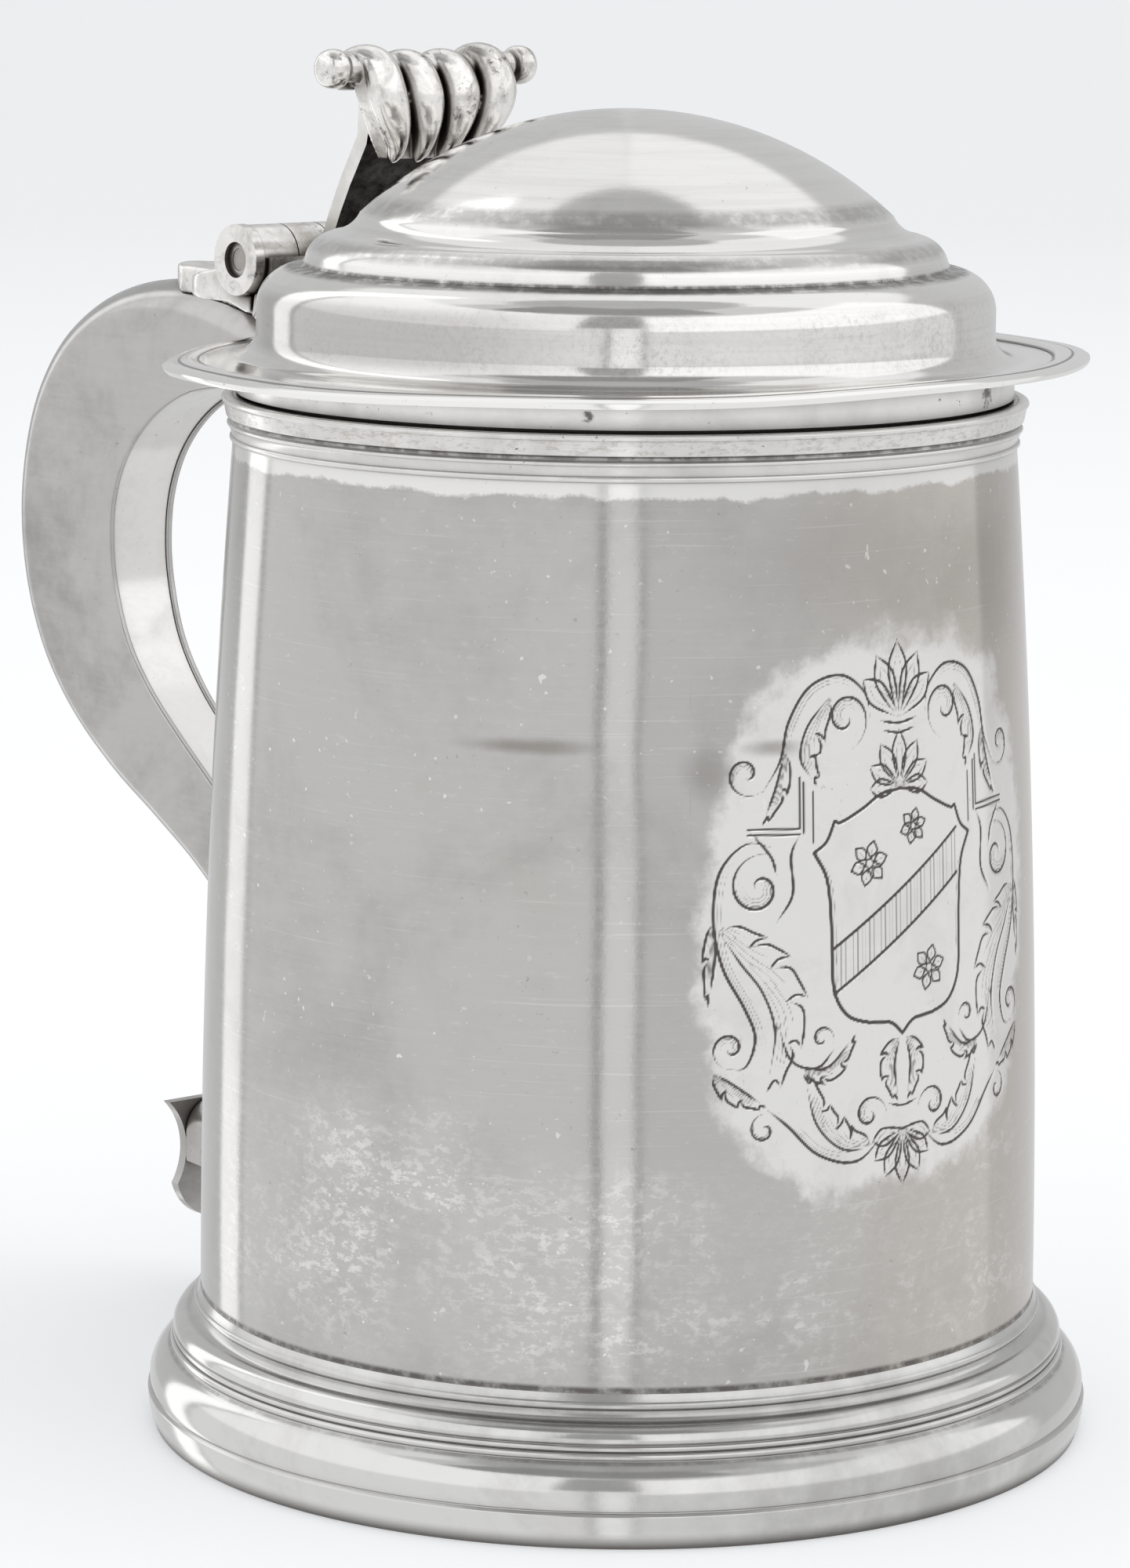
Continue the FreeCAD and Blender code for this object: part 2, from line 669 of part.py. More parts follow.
def make_thumb_scroll():
    """Casting of four leaning reeds that roll over a cross bar."""
    casting = scroll_bar()
    for index in range(4):
        casting = casting.fuse(scroll_reed(index))
    fan = [(-9.2, 160.0), (-9.2, 167.0), (-15.0, 178.5), (-15.0, 190.0)]
    fan_face = Part.Face(Part.makePolygon([
        Vector(-60.0, y, z) for y, z in fan + [(-y, z) for y, z in reversed(fan)] + fan[:1]]))
    casting = casting.common(fan_face.extrude(Vector(40, 0, 0)))
    web = prism_across([(-43.2, 168.5), (-40.0, 168.0), (-38.0, 173.0), (-40.0, 178.0),
                        (-43.0, 177.5)], 13.0)
    casting = casting.fuse(web)
    add_shape("thumb_scroll", casting.cut(doc.getObject("thumb_standard").Shape))


def make_thumb_knob(label, side):
    """Button on the end of the scroll's bar."""
    face_y = side * size("bar_half_length")
    centre = Vector(-size("bar_back"), face_y + side * 1.5, size("bar_height"))
    ball = Part.makeSphere(size("knob_radius"), centre)
    hollow = Part.makeCylinder(5, 4, Vector(centre.x, face_y, centre.z), Vector(0, -side, 0))
    add_shape(label, ball.cut(hollow))


# ---------------------------------------------------------------------------------------------
# Build, check and write
# ---------------------------------------------------------------------------------------------

def pieces():
    bodies = [item for item in doc.Objects if item.TypeId == "PartDesign::Body"]
    features = [item for item in doc.Objects if item.TypeId == "Part::Feature"]
    return bodies + features


def check_document():
    for item in doc.Objects:
        if "Invalid" in item.State or "Error" in item.State:
            raise RuntimeError("%s failed: %s" % (item.Label, item.State))
    for piece in pieces():
        shape = piece.Shape
        if shape.isNull() or not shape.isValid():
            raise RuntimeError("%s has no valid shape" % piece.Label)
        if len(shape.Solids) != 1:
            raise RuntimeError("%s has %d solids" % (piece.Label, len(shape.Solids)))


def write_parts():
    os.makedirs("parts", exist_ok=True)
    for piece in pieces():
        piece.Shape.exportStep("parts/%s.step" % piece.Label)
        box = piece.Shape.BoundBox
        print("%-22s volume %9.1f  x %7.1f..%6.1f  y %6.1f..%5.1f  z %6.1f..%6.1f" % (
            piece.Label, piece.Shape.Volume, box.XMin, box.XMax, box.YMin, box.YMax,
            box.ZMin, box.ZMax))


make_drum()
make_floor_disc()
make_foot_ring()
make_rim_moulding()
make_lid_dome()
make_flange_reeding()
make_lid_bezel()
make_knuckles()
make_hinge_pin()
make_hinge_cheek("hinge_cheek_near", -1)
make_hinge_cheek("hinge_cheek_far", 1)
make_handle()
make_handle_terminal()
make_lid_leaf()
make_hinge_bracket()
make_thumb_standard()
make_thumb_scroll()
make_thumb_knob("thumb_knob_near", -1)
make_thumb_knob("thumb_knob_far", 1)
doc.recompute()
check_document()
write_parts()
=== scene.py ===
"""Old silver lidded tankard: the visual model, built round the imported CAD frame."""
from math import asin, atan2, cos, degrees, exp, hypot, pi, radians, sin, sqrt

import bmesh
import bpy
import numpy as np
from mathutils import Matrix, Vector


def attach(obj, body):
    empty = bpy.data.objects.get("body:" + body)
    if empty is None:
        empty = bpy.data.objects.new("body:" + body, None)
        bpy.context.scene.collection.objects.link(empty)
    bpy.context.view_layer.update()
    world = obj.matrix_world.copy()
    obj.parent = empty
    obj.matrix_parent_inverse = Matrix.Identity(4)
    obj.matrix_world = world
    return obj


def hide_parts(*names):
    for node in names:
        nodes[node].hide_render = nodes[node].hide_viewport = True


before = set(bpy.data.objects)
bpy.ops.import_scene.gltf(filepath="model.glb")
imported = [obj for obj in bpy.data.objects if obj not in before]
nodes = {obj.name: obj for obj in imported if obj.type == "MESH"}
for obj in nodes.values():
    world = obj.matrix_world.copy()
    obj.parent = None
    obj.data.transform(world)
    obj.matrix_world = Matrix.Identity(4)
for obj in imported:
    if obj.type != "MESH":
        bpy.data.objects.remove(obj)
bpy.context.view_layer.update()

MM = 0.001
DEGREES = 180 / pi
scene = bpy.context.scene


# ---- Sizes of the object, in millimetres, as the CAD has them

DRUM_BASE = 56.3
DRUM_TOP = 51.7
DRUM_WALL = 1.0
DRUM_HEIGHT = 138.5
DRUM_HEM = 11.0         # where the wall ends, inside the foot
BELLY = 1545.0          # radius of the wall's slight bow
FOOT_HEIGHT = 18.3
RIM_START = DRUM_HEIGHT - 6.0
FLANGE = 61.1
UNDERSIDE = 142.7       # height of the lid's flange, underneath
LID_SHEET = 0.9
LID_WALL = 48.6
DOME = 35.0
DOME_FOOT = 162.2
LID_TOP = 175.9


# ---- Node materials: in metres, with the scales of noise in features to a metre

MEAN_RADIUS = 0.055     # turns an angle round the drum into metres along it


class Graph:
    """Small helper that adds shader nodes to one material or world."""

    def __init__(self, owner, shader="Principled BSDF", place="Object"):
        self.owner = owner
        owner.use_nodes = True
        self.tree = owner.node_tree
        self.shader = self.tree.nodes[shader]
        self.place = self.node("ShaderNodeTexCoord").outputs[place]

    def node(self, kind, **settings):
        made = self.tree.nodes.new(kind)
        for key, value in settings.items():
            setattr(made, key, value)
        return made

    def feed(self, socket, value):
        if isinstance(value, bpy.types.NodeSocket):
            self.tree.links.new(value, socket)
        else:
            socket.default_value = value

    def filled(self, kind, output, values, **settings):
        """A node's output, with some of its inputs fed by name or number."""
        made = self.node(kind, **settings)
        for key, value in values.items():
            self.feed(made.inputs[key], value)
        return made.outputs[output]

    def math(self, operation, first, second=0.0):
        return self.filled("ShaderNodeMath", 0, {0: first, 1: second}, operation=operation)

    def times(self, first, *others):
        for other in others:
            first = self.math("MULTIPLY", first, other)
        return first

    def plus(self, first, second):
        return self.math("ADD", first, second)

    def minus(self, first, second):
        return self.math("SUBTRACT", first, second)

    def most(self, first, second):
        return self.math("MAXIMUM", first, second)

    def length(self, first, second):
        return self.math("SQRT", self.plus(self.times(first, first), self.times(second, second)))

    def noise(self, scale, detail, rough, place=None, distortion=0.0):
        return self.filled("ShaderNodeTexNoise", "Fac", {
            "Vector": place or self.place, "Scale": scale, "Detail": detail,
            "Roughness": rough, "Distortion": distortion})

    def grain(self, scale, detail, rough, place=None):
        """Noise with its own scale along each axis."""
        place = self.filled("ShaderNodeMapping", 0, {"Vector": place or self.place, "Scale": scale})
        return self.noise(1.0, detail, rough, place)

    def range(self, value, low, high, to_low=0.0, to_high=1.0, smooth=False):
        return self.filled("ShaderNodeMapRange", 0, {
            "Value": value, "From Min": low, "From Max": high, "To Min": to_low,
            "To Max": to_high}, clamp=True, interpolation_type="SMOOTHSTEP" if smooth else "LINEAR")

    def mix(self, factor, first, second):
        return self.filled("ShaderNodeMix", 2, {0: factor, 6: first, 7: second}, data_type="RGBA")

    def split(self, place=None):
        made = self.node("ShaderNodeSeparateXYZ")
        self.feed(made.inputs[0], place or self.place)
        return made.outputs

    def turn(self):
        """Degrees round the drum's axis from the engraved front."""
        x, y, _ = self.split()
        return self.times(self.math("ARCTAN2", y, x), DEGREES)

    def reach(self):
        """Metres from the drum's axis."""
        x, y, _ = self.split()
        return self.length(x, y)

    def around(self):
        """Coordinates that run round the drum's axis, out from it and up it, in metres."""
        x, y, z = self.split()
        run = self.times(self.math("ARCTAN2", y, x), MEAN_RADIUS)
        return self.filled("ShaderNodeCombineXYZ", 0, {0: run, 1: self.length(x, y), 2: z})

    def crevice(self, distance, low=0.35, high=0.95):
        """One in tight corners, nought in the open."""
        sky = self.filled("ShaderNodeAmbientOcclusion", "AO", {"Distance": distance}, samples=8)
        return self.range(sky, low, high, 1.0, 0.0)

    def painted(self, name):
        """A number carried by the mesh's own points."""
        return self.node("ShaderNodeAttribute", attribute_name=name).outputs["Fac"]

    def inside(self, value, low, high, soft):
        """One between two limits, fading to nought over the soft distance outside them."""
        return self.times(self.range(value, low - soft, low, smooth=True),
                          self.range(value, high, high + soft, 1.0, 0.0, smooth=True))

    def band(self, height, half, soft):
        """One near a height of the object, falling to nought over the soft distance; all in mm."""
        away = self.math("ABSOLUTE", self.minus(self.split()[2], height * MM))
        return self.range(away, half * MM, half * MM + soft * MM, 1.0, 0.0)

    def bump(self, strength, distance, height, onto=None):
        values = {"Strength": strength, "Distance": distance, "Height": height}
        if onto is not None:
            values["Normal"] = onto
        return self.filled("ShaderNodeBump", 0, values)


def tone(red, green, blue):
    return (red, green, blue, 1.0)


CLEAN = tone(0.93, 0.915, 0.885)
GREY = tone(0.66, 0.645, 0.62)
WARM = tone(0.50, 0.465, 0.425)
OXIDE = tone(0.055, 0.046, 0.040)
CHALK = tone(0.97, 0.96, 0.94)
POLISHED = tone(0.89, 0.88, 0.86)


def silver(name, clean=CLEAN, grey=GREY, tarnish=0.5, rough=0.24, turned=True, crevice=0.0022,
           bands=(), speckle=0.0, dents=0.3, wear_and_shade=None):
    """Old silver: patches of thin tarnish, dark oxide in corners, scratches and specks."""
    g = Graph(bpy.data.materials.new(name))
    around = g.around() if turned else g.place
    patches = g.noise(26.0, 6.0, 0.6, distortion=0.6)
    fine = g.noise(190.0, 5.0, 0.65)
    streak = g.grain((70.0, 700.0, 1500.0), 4.0, 0.6, around)
    cover = g.plus(g.times(patches, 0.75), g.times(fine, 0.25))
    cover = g.range(cover, 0.62 - 0.3 * tarnish, 0.88 - 0.3 * tarnish, smooth=True)
    colour = g.mix(cover, clean, grey)
    warmth = g.range(g.noise(55.0, 5.0, 0.6, distortion=1.0), 0.56, 0.78)
    colour = g.mix(g.times(warmth, 0.55 * tarnish + 0.1), colour, WARM)
    colour = g.mix(g.range(streak, 0.35, 0.7, 0.0, 0.12), colour, GREY)
    dark = g.crevice(crevice)
    if wear_and_shade:
        colour, dark = wear_and_shade(g, colour, dark)
    for height, half, soft, amount in bands:
        broken = g.range(g.noise(420.0, 3.0, 0.7), 0.3, 0.55, 0.35, 1.0)
        dark = g.most(dark, g.times(g.band(height, half, soft), amount, broken))
    if speckle:
        spots = g.range(g.noise(900.0, 3.0, 0.75), 0.66, 0.72)
        near = g.range(g.noise(60.0, 3.0, 0.6), 0.45, 0.62)
        dark = g.most(dark, g.times(spots, near, speckle))
    colour = g.mix(g.times(dark, 0.93), colour, OXIDE)
    g.feed(g.shader.inputs["Base Color"], colour)
    shine = g.plus(g.range(cover, 0.0, 1.0, rough * 0.7, rough * 1.25),
                   g.times(g.range(streak, 0.3, 0.7), 0.05))
    g.feed(g.shader.inputs["Roughness"], g.plus(shine, g.times(dark, 0.3)))
    g.shader.inputs["Metallic"].default_value = 1.0
    soft = g.bump(0.35 * dents, 0.0012, g.noise(38.0, 2.0, 0.5))
    lines = g.bump(0.05, 0.0001, streak, soft)
    g.feed(g.shader.inputs["Normal"], g.bump(0.08, 0.00006, g.noise(1600.0, 4.0, 0.7), lines))
    return g.owner


# Dark smudges in the drum's tarnish: degrees from +X, height, half sizes, strength
SMUDGES = [(-53.0, 0.0998, 11.0, 0.0013, 0.62), (-29.0, 0.0965, 4.0, 0.0045, 0.42),
           (-20.0, 0.0996, 4.5, 0.0013, 0.55), (-8.0, 0.1225, 26.0, 0.0120, 0.22),
           (18.0, 0.118, 22.0, 0.012, 0.25)]
# Where the drum's tarnish is worn through: limits and softness in degrees, then in height
WORN_LEFT = ((-102.0, -64.0, 9.0), (0.030, 0.046, 0.012))
WORN_FRONT = ((-56.0, 60.0, 16.0), (0.026, 0.040, 0.010))
# Rings scratched in the flange of the lid: distance from the axis
FLANGE_LINES = (0.0587, 0.0562)


def drum_wear(g, colour, dark):
    """Tarnish rubbed away round the engraving, under the rim and low down, and inked cuts."""
    z = g.split()[2]
    turn = g.turn()
    shift = g.minus(g.noise(120.0, 6.0, 0.7), 0.5)
    smear = g.minus(g.noise(28.0, 5.0, 0.65, distortion=0.8), 0.5)
    honey = g.range(turn, -30.0, 20.0, 0.0, 0.6, smooth=True)
    colour = g.mix(honey, colour, tone(0.60, 0.55, 0.49))
    edge = g.plus(g.plus(g.painted("unpolished"), g.times(shift, 10.0)), g.times(smear, 12.0))
    halo = g.range(edge, -0.6, 2.6, 1.0, 0.0, smooth=True)
    dim = g.range(g.noise(75.0, 5.0, 0.7, distortion=0.4), 0.5, 0.75, 0.0, 0.3)
    halo = g.times(halo, g.minus(1.0, dim))
    collar = g.range(g.plus(z, g.times(shift, 0.004)), 0.1304, 0.1309)
    flecks = g.range(g.grain((520.0, 520.0, 900.0), 7.0, 0.75), 0.49, 0.56)
    patch = g.range(g.noise(45.0, 5.0, 0.65, distortion=0.8), 0.42, 0.62)
    left, front = (g.times(g.inside(turn, *turns), g.inside(z, *heights))
                   for turns, heights in (WORN_LEFT, WORN_FRONT))
    worn = g.times(g.most(left, front), g.most(flecks, 0.25), g.plus(g.times(patch, 0.7), 0.1))
    rubbed = g.most(g.most(halo, collar), worn)
    colour = g.mix(g.times(rubbed, 0.92), colour, POLISHED)
    for spread, strength in (((40.0, 40.0, 2600.0), 0.16), ((420.0, 420.0, 1400.0), 0.10)):
        lines = g.range(g.grain(spread, 3.0, 0.6), 0.62, 0.72)
        colour = g.mix(g.times(lines, strength), colour, CHALK)
    specks = g.range(g.noise(1000.0, 1.0, 0.4), 0.735, 0.765)
    strewn = g.range(g.noise(22.0, 3.0, 0.6), 0.45, 0.65, 0.1, 0.75)
    colour = g.mix(g.times(specks, strewn), colour, CHALK)
    for at_turn, at_z, wide, tall, amount in SMUDGES:
        away = g.length(g.math("DIVIDE", g.minus(turn, at_turn), wide),
                        g.math("DIVIDE", g.minus(z, at_z), tall))
        spot = g.range(g.plus(away, g.times(shift, 0.8)), 0.15, 1.15, amount, 0.0, smooth=True)
        colour = g.mix(spot, colour, tone(0.22, 0.195, 0.17))
    return colour, g.most(dark, g.range(g.painted("cut"), 0.2, 0.75))


def lid_wear_and_side_shade(g, colour, dark):
    """Spun streaks round the lid, painted shade on the left side of its wall, and warm specks low
    on its wall.
    """
    z = g.split()[2]
    streaks = g.grain((9.0, 60.0, 900.0), 6.0, 0.7, g.around())
    colour = g.mix(g.range(streaks, 0.45, 0.7, 0.0, 0.22), colour, tone(0.47, 0.45, 0.425))
    wall = g.inside(z, 0.1462, 0.1515, 0.002)
    # Painted shade: the lid's wall is painted darker on its left side, from -30 degrees round past
    # -75 degrees.
    painted_side_shade = g.times(wall, g.range(g.turn(), -75.0, -30.0, 0.75, 0.0, smooth=True))
    colour = g.mix(painted_side_shade, colour, tone(0.46, 0.45, 0.435))
    specks = g.range(g.noise(1300.0, 6.0, 0.8), 0.48, 0.62)
    cloud = g.range(g.noise(60.0, 4.0, 0.6), 0.4, 0.65, 0.1, 0.5)
    colour = g.mix(g.times(wall, specks, cloud), colour, tone(0.45, 0.41, 0.36))
    reach = g.reach()
    colour = g.mix(g.range(reach, 0.0515, 0.0530, 0.0, 0.85), colour, CHALK)
    for ring in FLANGE_LINES:
        line = g.range(g.math("ABSOLUTE", g.minus(reach, ring)), 0.0001, 0.00028, 0.8, 0.0)
        dark = g.most(dark, g.times(line, g.range(z, 0.1458, 0.1462, 1.0, 0.0)))
    return colour, dark


def rim_wear(g, colour, dark):
    """Mottled skin on the flared band, and a few dark stains on the lid's collar."""
    z = g.split()[2]
    around = g.around()
    skin = g.grain((500.0, 500.0, 1500.0), 6.0, 0.8, around)
    mottle = g.times(g.range(skin, 0.5, 0.6), g.inside(z, 0.1360, 0.1378, 0.0003), 0.55)
    colour = g.mix(mottle, colour, tone(0.50, 0.46, 0.41))
    blots = g.grain((120.0, 120.0, 160.0), 5.0, 0.7, around)
    stain = g.times(g.range(blots, 0.60, 0.68), g.range(z, 0.1387, 0.1389), 0.85)
    return colour, g.most(dark, stain)


def forward_faces_darkened(g, colour, dark):
    """Near black, a little uneven, over the faces that look towards +X, the drum's front."""
    facing = g.split(g.node("ShaderNodeTexCoord").outputs["Normal"])[0]
    pits = g.range(g.noise(420.0, 5.0, 0.7), 0.4, 0.7, 1.0, 0.9)
    return g.mix(g.times(g.range(facing, 0.2, 0.5), pits), colour, tone(0.014, 0.012, 0.010)), dark


def cast_wear(g, colour, dark):
    """Pitted casting: brown in the hollows, scattered dark pits, bright where it is handled."""
    pits = g.range(g.noise(560.0, 6.0, 0.78), 0.53, 0.62, 0.0, 0.9)
    near = g.range(g.noise(150.0, 4.0, 0.6), 0.46, 0.58)
    dark = g.most(dark, g.times(pits, near))
    smoke = g.range(g.noise(210.0, 5.0, 0.65, distortion=0.8), 0.48, 0.68, 0.0, 0.6)
    colour = g.mix(smoke, colour, tone(0.36, 0.335, 0.30))
    brown = g.times(g.crevice(0.0045, 0.62, 0.98), 0.75)
    return g.mix(brown, colour, tone(0.16, 0.135, 0.11)), dark


def plain_stage(name):
    """Pale paper that glows a little, so that it stays pale out to the horizon, with painted shade
    that darkens it further out.
    """
    g = Graph(bpy.data.materials.new(name))
    near = g.mix(g.noise(1.4, 3.0, 0.5), tone(0.80, 0.805, 0.815), tone(0.84, 0.845, 0.85))
    # Painted shade: the paper is painted darker from 0.2 m to 2.5 m out, to offset the brighter
    # light far from the object.
    g.feed(g.shader.inputs["Base Color"],
           g.mix(g.range(g.reach(), 0.2, 2.5), near, tone(0.66, 0.665, 0.67)))
    for socket, value in (("Roughness", 0.75), ("Specular IOR Level", 0.1),
                          ("Emission Color", tone(0.97, 0.985, 1.0)),
                          ("Emission Strength", 0.26)):
        g.shader.inputs[socket].default_value = value
    return g.owner


# ---- Mesh helpers: all take millimetres

def circle(count):
    """Angles of equal steps once round."""
    return np.linspace(0, 2 * pi, count + 1)[:-1]


def in_metres(points):
    return [tuple(float(c) * MM for c in p) for p in points]


def clean_mesh(mesh, slivers=True):
    """Drops loose points, joins doubled ones and turns every face outwards."""
    work = bmesh.new()
    work.from_mesh(mesh)
    bmesh.ops.delete(work, geom=[v for v in work.verts if not v.link_faces], context="VERTS")
    bmesh.ops.remove_doubles(work, verts=work.verts, dist=1e-7)
    if slivers:
        bmesh.ops.dissolve_degenerate(work, edges=work.edges, dist=1e-8)
    bmesh.ops.recalc_face_normals(work, faces=work.faces)
    work.to_mesh(mesh)
    work.free()


def polar(radius, angle, z):
    return (radius * cos(angle), radius * sin(angle), z)


def make_piece(name, points, faces, *finish, **options):
    mesh = bpy.data.meshes.new(name)
    mesh.from_pydata(in_metres(points), [], [tuple(int(i) for i in f) for f in faces])
    clean_mesh(mesh)
    return finish_piece(name, mesh, *finish, **options)


def finish_piece(name, mesh, material, body, slot, stands_for, smooth_angle=35.0, bevel=0.0):
    """Material, softened edges, body and CAD node of one new piece; the slot is not used."""
    mesh.shade_smooth()
    mesh.set_sharp_from_angle(angle=radians(smooth_angle))
    mesh.materials.append(material)
    piece = bpy.data.objects.new(name, mesh)
    scene.collection.objects.link(piece)
    if bevel:
        add_bevel(piece, bevel)
    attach(piece, body)
    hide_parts(stands_for)
    return piece


def add_bevel(piece, width):
    """Rounds the edges that turn by more than 38 degrees."""
    edge = piece.modifiers.new("edge", "BEVEL")
    edge.width = width * MM
    edge.segments = 2
    edge.limit_method = "ANGLE"
    edge.angle_limit = radians(38.0)
    edge.harden_normals = False


def arc(start, end, bend, step):
    """Points after start up to end on an arc; positive bend swells to the left of travel."""
    p = np.array(start, float)
    q = np.array(end, float)
    chord = q - p
    length = np.linalg.norm(chord)
    left = np.array([-chord[1], chord[0]]) / length
    radius = abs(bend)
    drop = sqrt(max(radius * radius - length * length / 4, 0.0))
    side = 1.0 if bend > 0 else -1.0
    centre = (p + q) / 2 - left * drop * side
    sweep = 2 * asin(min(1.0, length / 2 / radius))
    count = max(2, int(degrees(sweep) / step) + 1, int(length / 2.0))
    first = atan2(p[1] - centre[1], p[0] - centre[0])
    turn = -sweep * side
    return [(centre[0] + radius * cos(first + turn * k / count),
             centre[1] + radius * sin(first + turn * k / count))
            for k in range(1, count + 1)]


def expand(corners, step):
    """A closed outline with its arcs turned into points, a step of so many degrees apart."""
    points = []
    for index, corner in enumerate(corners):
        before = corners[index - 1][:2]
        if len(corner) == 3:
            points += arc(before, corner[:2], corner[2], step)
        else:
            points.append(tuple(corner[:2]))
    return points


def turned_piece(name, outline, shape, *finish):
    """An outline of radius and height turned about the drum's axis; shape bends its points."""
    points, faces = [], []
    turns, rows = 360, len(outline)
    for turn in range(turns):
        angle = 2 * pi * turn / turns
        for radius, height in outline:
            r, z = shape(radius, angle, height) if shape else (radius, height)
            points.append(polar(r, angle, z))
    for turn in range(turns):
        here, there = turn * rows, (turn + 1) % turns * rows
        for row in range(rows):
            after = (row + 1) % rows
            if outline[row][0] < 1e-6 and outline[after][0] < 1e-6:
                continue
            faces.append((here + row, here + after, there + after, there + row))
    make_piece(name, points, faces, *finish)


def loft(rings):
    """Points and faces joining rings of equal count, closed at both ends."""
    count = len(rings[0])
    points = [tuple(p) for ring in rings for p in ring]
    faces = []
    for index in range(len(rings) - 1):
        a, b = index * count, (index + 1) * count
        for k in range(count):
            n = (k + 1) % count
            faces.append((a + k, a + n, b + n, b + k))
    faces.append(tuple(range(count)))
    last = (len(rings) - 1) * count
    faces.append(tuple(last + k for k in reversed(range(count))))
    return points, faces


def smooth_run(values, per_span):
    """Catmull-Rom run through rows of values."""
    rows = np.array(values, float)
    rows = np.vstack([2 * rows[0] - rows[1], rows, 2 * rows[-1] - rows[-2]])
    out = []
    for k in range(1, len(rows) - 2):
        a, b, c, d = rows[k - 1:k + 3]
        for step in range(per_span):
            t = step / per_span
            out.append(0.5 * (2 * b + (c - a) * t + (2 * a - 5 * b + 4 * c - d) * t * t
                              + (3 * b - a - 3 * c + d) * t ** 3))
    out.append(rows[-2])
    return np.array(out)


def ease(value, low, high):
    """Nought up to low, one from high on, smooth between."""
    t = min(1.0, max(0.0, (value - low) / (high - low)))
    return t * t * (3 - 2 * t)


# ---- Materials in use

# Bands of oxide: height, half width, fade, strength
drum_silver = silver("old_silver_drum", tone(0.54, 0.532, 0.515), tone(0.45, 0.442, 0.425),
                     tarnish=0.6, rough=0.10, speckle=0.3, dents=0.25, wear_and_shade=drum_wear,
                     bands=((18.6, 0.2, 0.45, 0.85),))
floor_silver = silver("old_silver_floor", tarnish=0.8, rough=0.3, speckle=0.3)
foot_silver = silver("old_silver_foot", tone(0.70, 0.695, 0.68), tone(0.50, 0.495, 0.485),
                     tarnish=0.55, rough=0.13,
                     bands=((17.2, 0.25, 0.3, 0.15), (16.0, 0.15, 0.3, 0.3),
                            (12.7, 0.1, 0.25, 0.3), (10.4, 0.1, 0.2, 0.5)))
lid_silver = silver("old_silver_lid", tone(0.86, 0.85, 0.83), tone(0.64, 0.625, 0.60),
                    tarnish=0.4, rough=0.10, speckle=0.4, wear_and_shade=lid_wear_and_side_shade,
                    bands=((163.4, 0.5, 0.9, 0.45), (158.4, 0.4, 0.8, 0.4),
                           (155.5, 0.3, 0.35, 0.85)))
rim_silver = silver("old_silver_rim", tone(0.84, 0.83, 0.81), tarnish=0.5, rough=0.22,
                    speckle=0.9, wear_and_shade=rim_wear, bands=((135.5, 0.15, 0.25, 0.8),))
unturned = {"turned": False, "crevice": 0.003}
handle_silver = silver("old_silver_handle", tone(0.52, 0.512, 0.50), tone(0.33, 0.323, 0.31),
                       tarnish=0.6, rough=0.22, speckle=0.4, **unturned)
strip_silver = silver("old_silver_strip", tone(0.80, 0.79, 0.77), tone(0.55, 0.54, 0.52),
                      tarnish=0.5, rough=0.18, speckle=0.4, **unturned)
hinge_silver = silver("old_silver_hinge", speckle=0.5, wear_and_shade=cast_wear, **unturned)
thumb_silver = silver("old_silver_thumbpiece", tarnish=0.35, rough=0.22, speckle=0.5,
                      turned=False, crevice=0.0032, wear_and_shade=cast_wear)
standard_silver = silver("old_silver_standard", rough=0.3, wear_and_shade=forward_faces_darkened, **unturned)
pin_silver = silver("pitted_pin", tone(0.62, 0.60, 0.57), tone(0.36, 0.34, 0.31),
                    tarnish=0.7, rough=0.4, turned=False, speckle=1.0)


# ---- Engraving: an invented cartouche, drawn in millimetres round (u) and up (v) from its middle

MIDDLE = 77.5               # height of the cartouche's middle
ENGRAVED_RADIUS = 54.6      # turns its width into an angle
CUT_DEPTH = 0.13
FINE = 0.1                  # width of a shading line
PATCH_HALF = (27.4, 33.0)   # half width and height of the patch that polishing kept clean
PATCH_POWER, PATCH_MEAN = 2.6, 29.0
strokes = []


def stroke(points, width, taper=True, through=6):
    """One cut line through a few points, thinning to both ends, and its mirror image."""
    line = np.array(points, float)
    if len(line) > 2:
        line = smooth_run(line, through)
    share = np.linspace(0.0, 1.0, len(line))
    swell = np.ones(len(line))
    if taper:
        swell = np.minimum(1.0, 0.35 + 2.6 * np.minimum(share, 1 - share))
    strokes.append((line, width * swell))
    if np.abs(line[:, 0]).max() > 0.01:
        strokes.append((line * np.array([-1.0, 1.0]), width * swell))


def single(points, width):
    """A cut line with no mirror image."""
    strokes.append((np.array(points, float), np.full(len(points), width)))


def curl(centre, radius, start, turns, tight):
    """Points of a spiral that winds in from a radius; start and turns in degrees."""
    steps = max(8, int(abs(turns) / 22))
    out = []
    for k in range(steps + 1):
        share = k / steps
        angle = radians(start + turns * share)
        r = radius * (1 - (1 - tight) * share ** 0.8)
        out.append((centre[0] + r * cos(angle), centre[1] + r * sin(angle)))
    return out


def offset_line(points, distance):
    """The same run of points moved sideways; positive is to the left of travel."""
    run = np.array(points, float)
    ahead = np.gradient(run, axis=0)
    ahead /= np.linalg.norm(ahead, axis=1)[:, None] + 1e-9
    share = np.linspace(0.0, 1.0, len(run))[:, None]
    fade = np.minimum(1.0, 4 * np.minimum(share, 1 - share))
    return run + np.stack([-ahead[:, 1], ahead[:, 0]], 1) * distance * fade


def shaded(points, gaps, width):
    """A bold line with finer lines beside it, as a graver shades a scroll."""
    stroke(points, width)
    run = np.array(points, float)
    for gap in gaps:
        part = offset_line(run, gap)
        trim = max(1, len(part) // 6)
        stroke(part[trim:-trim], FINE)


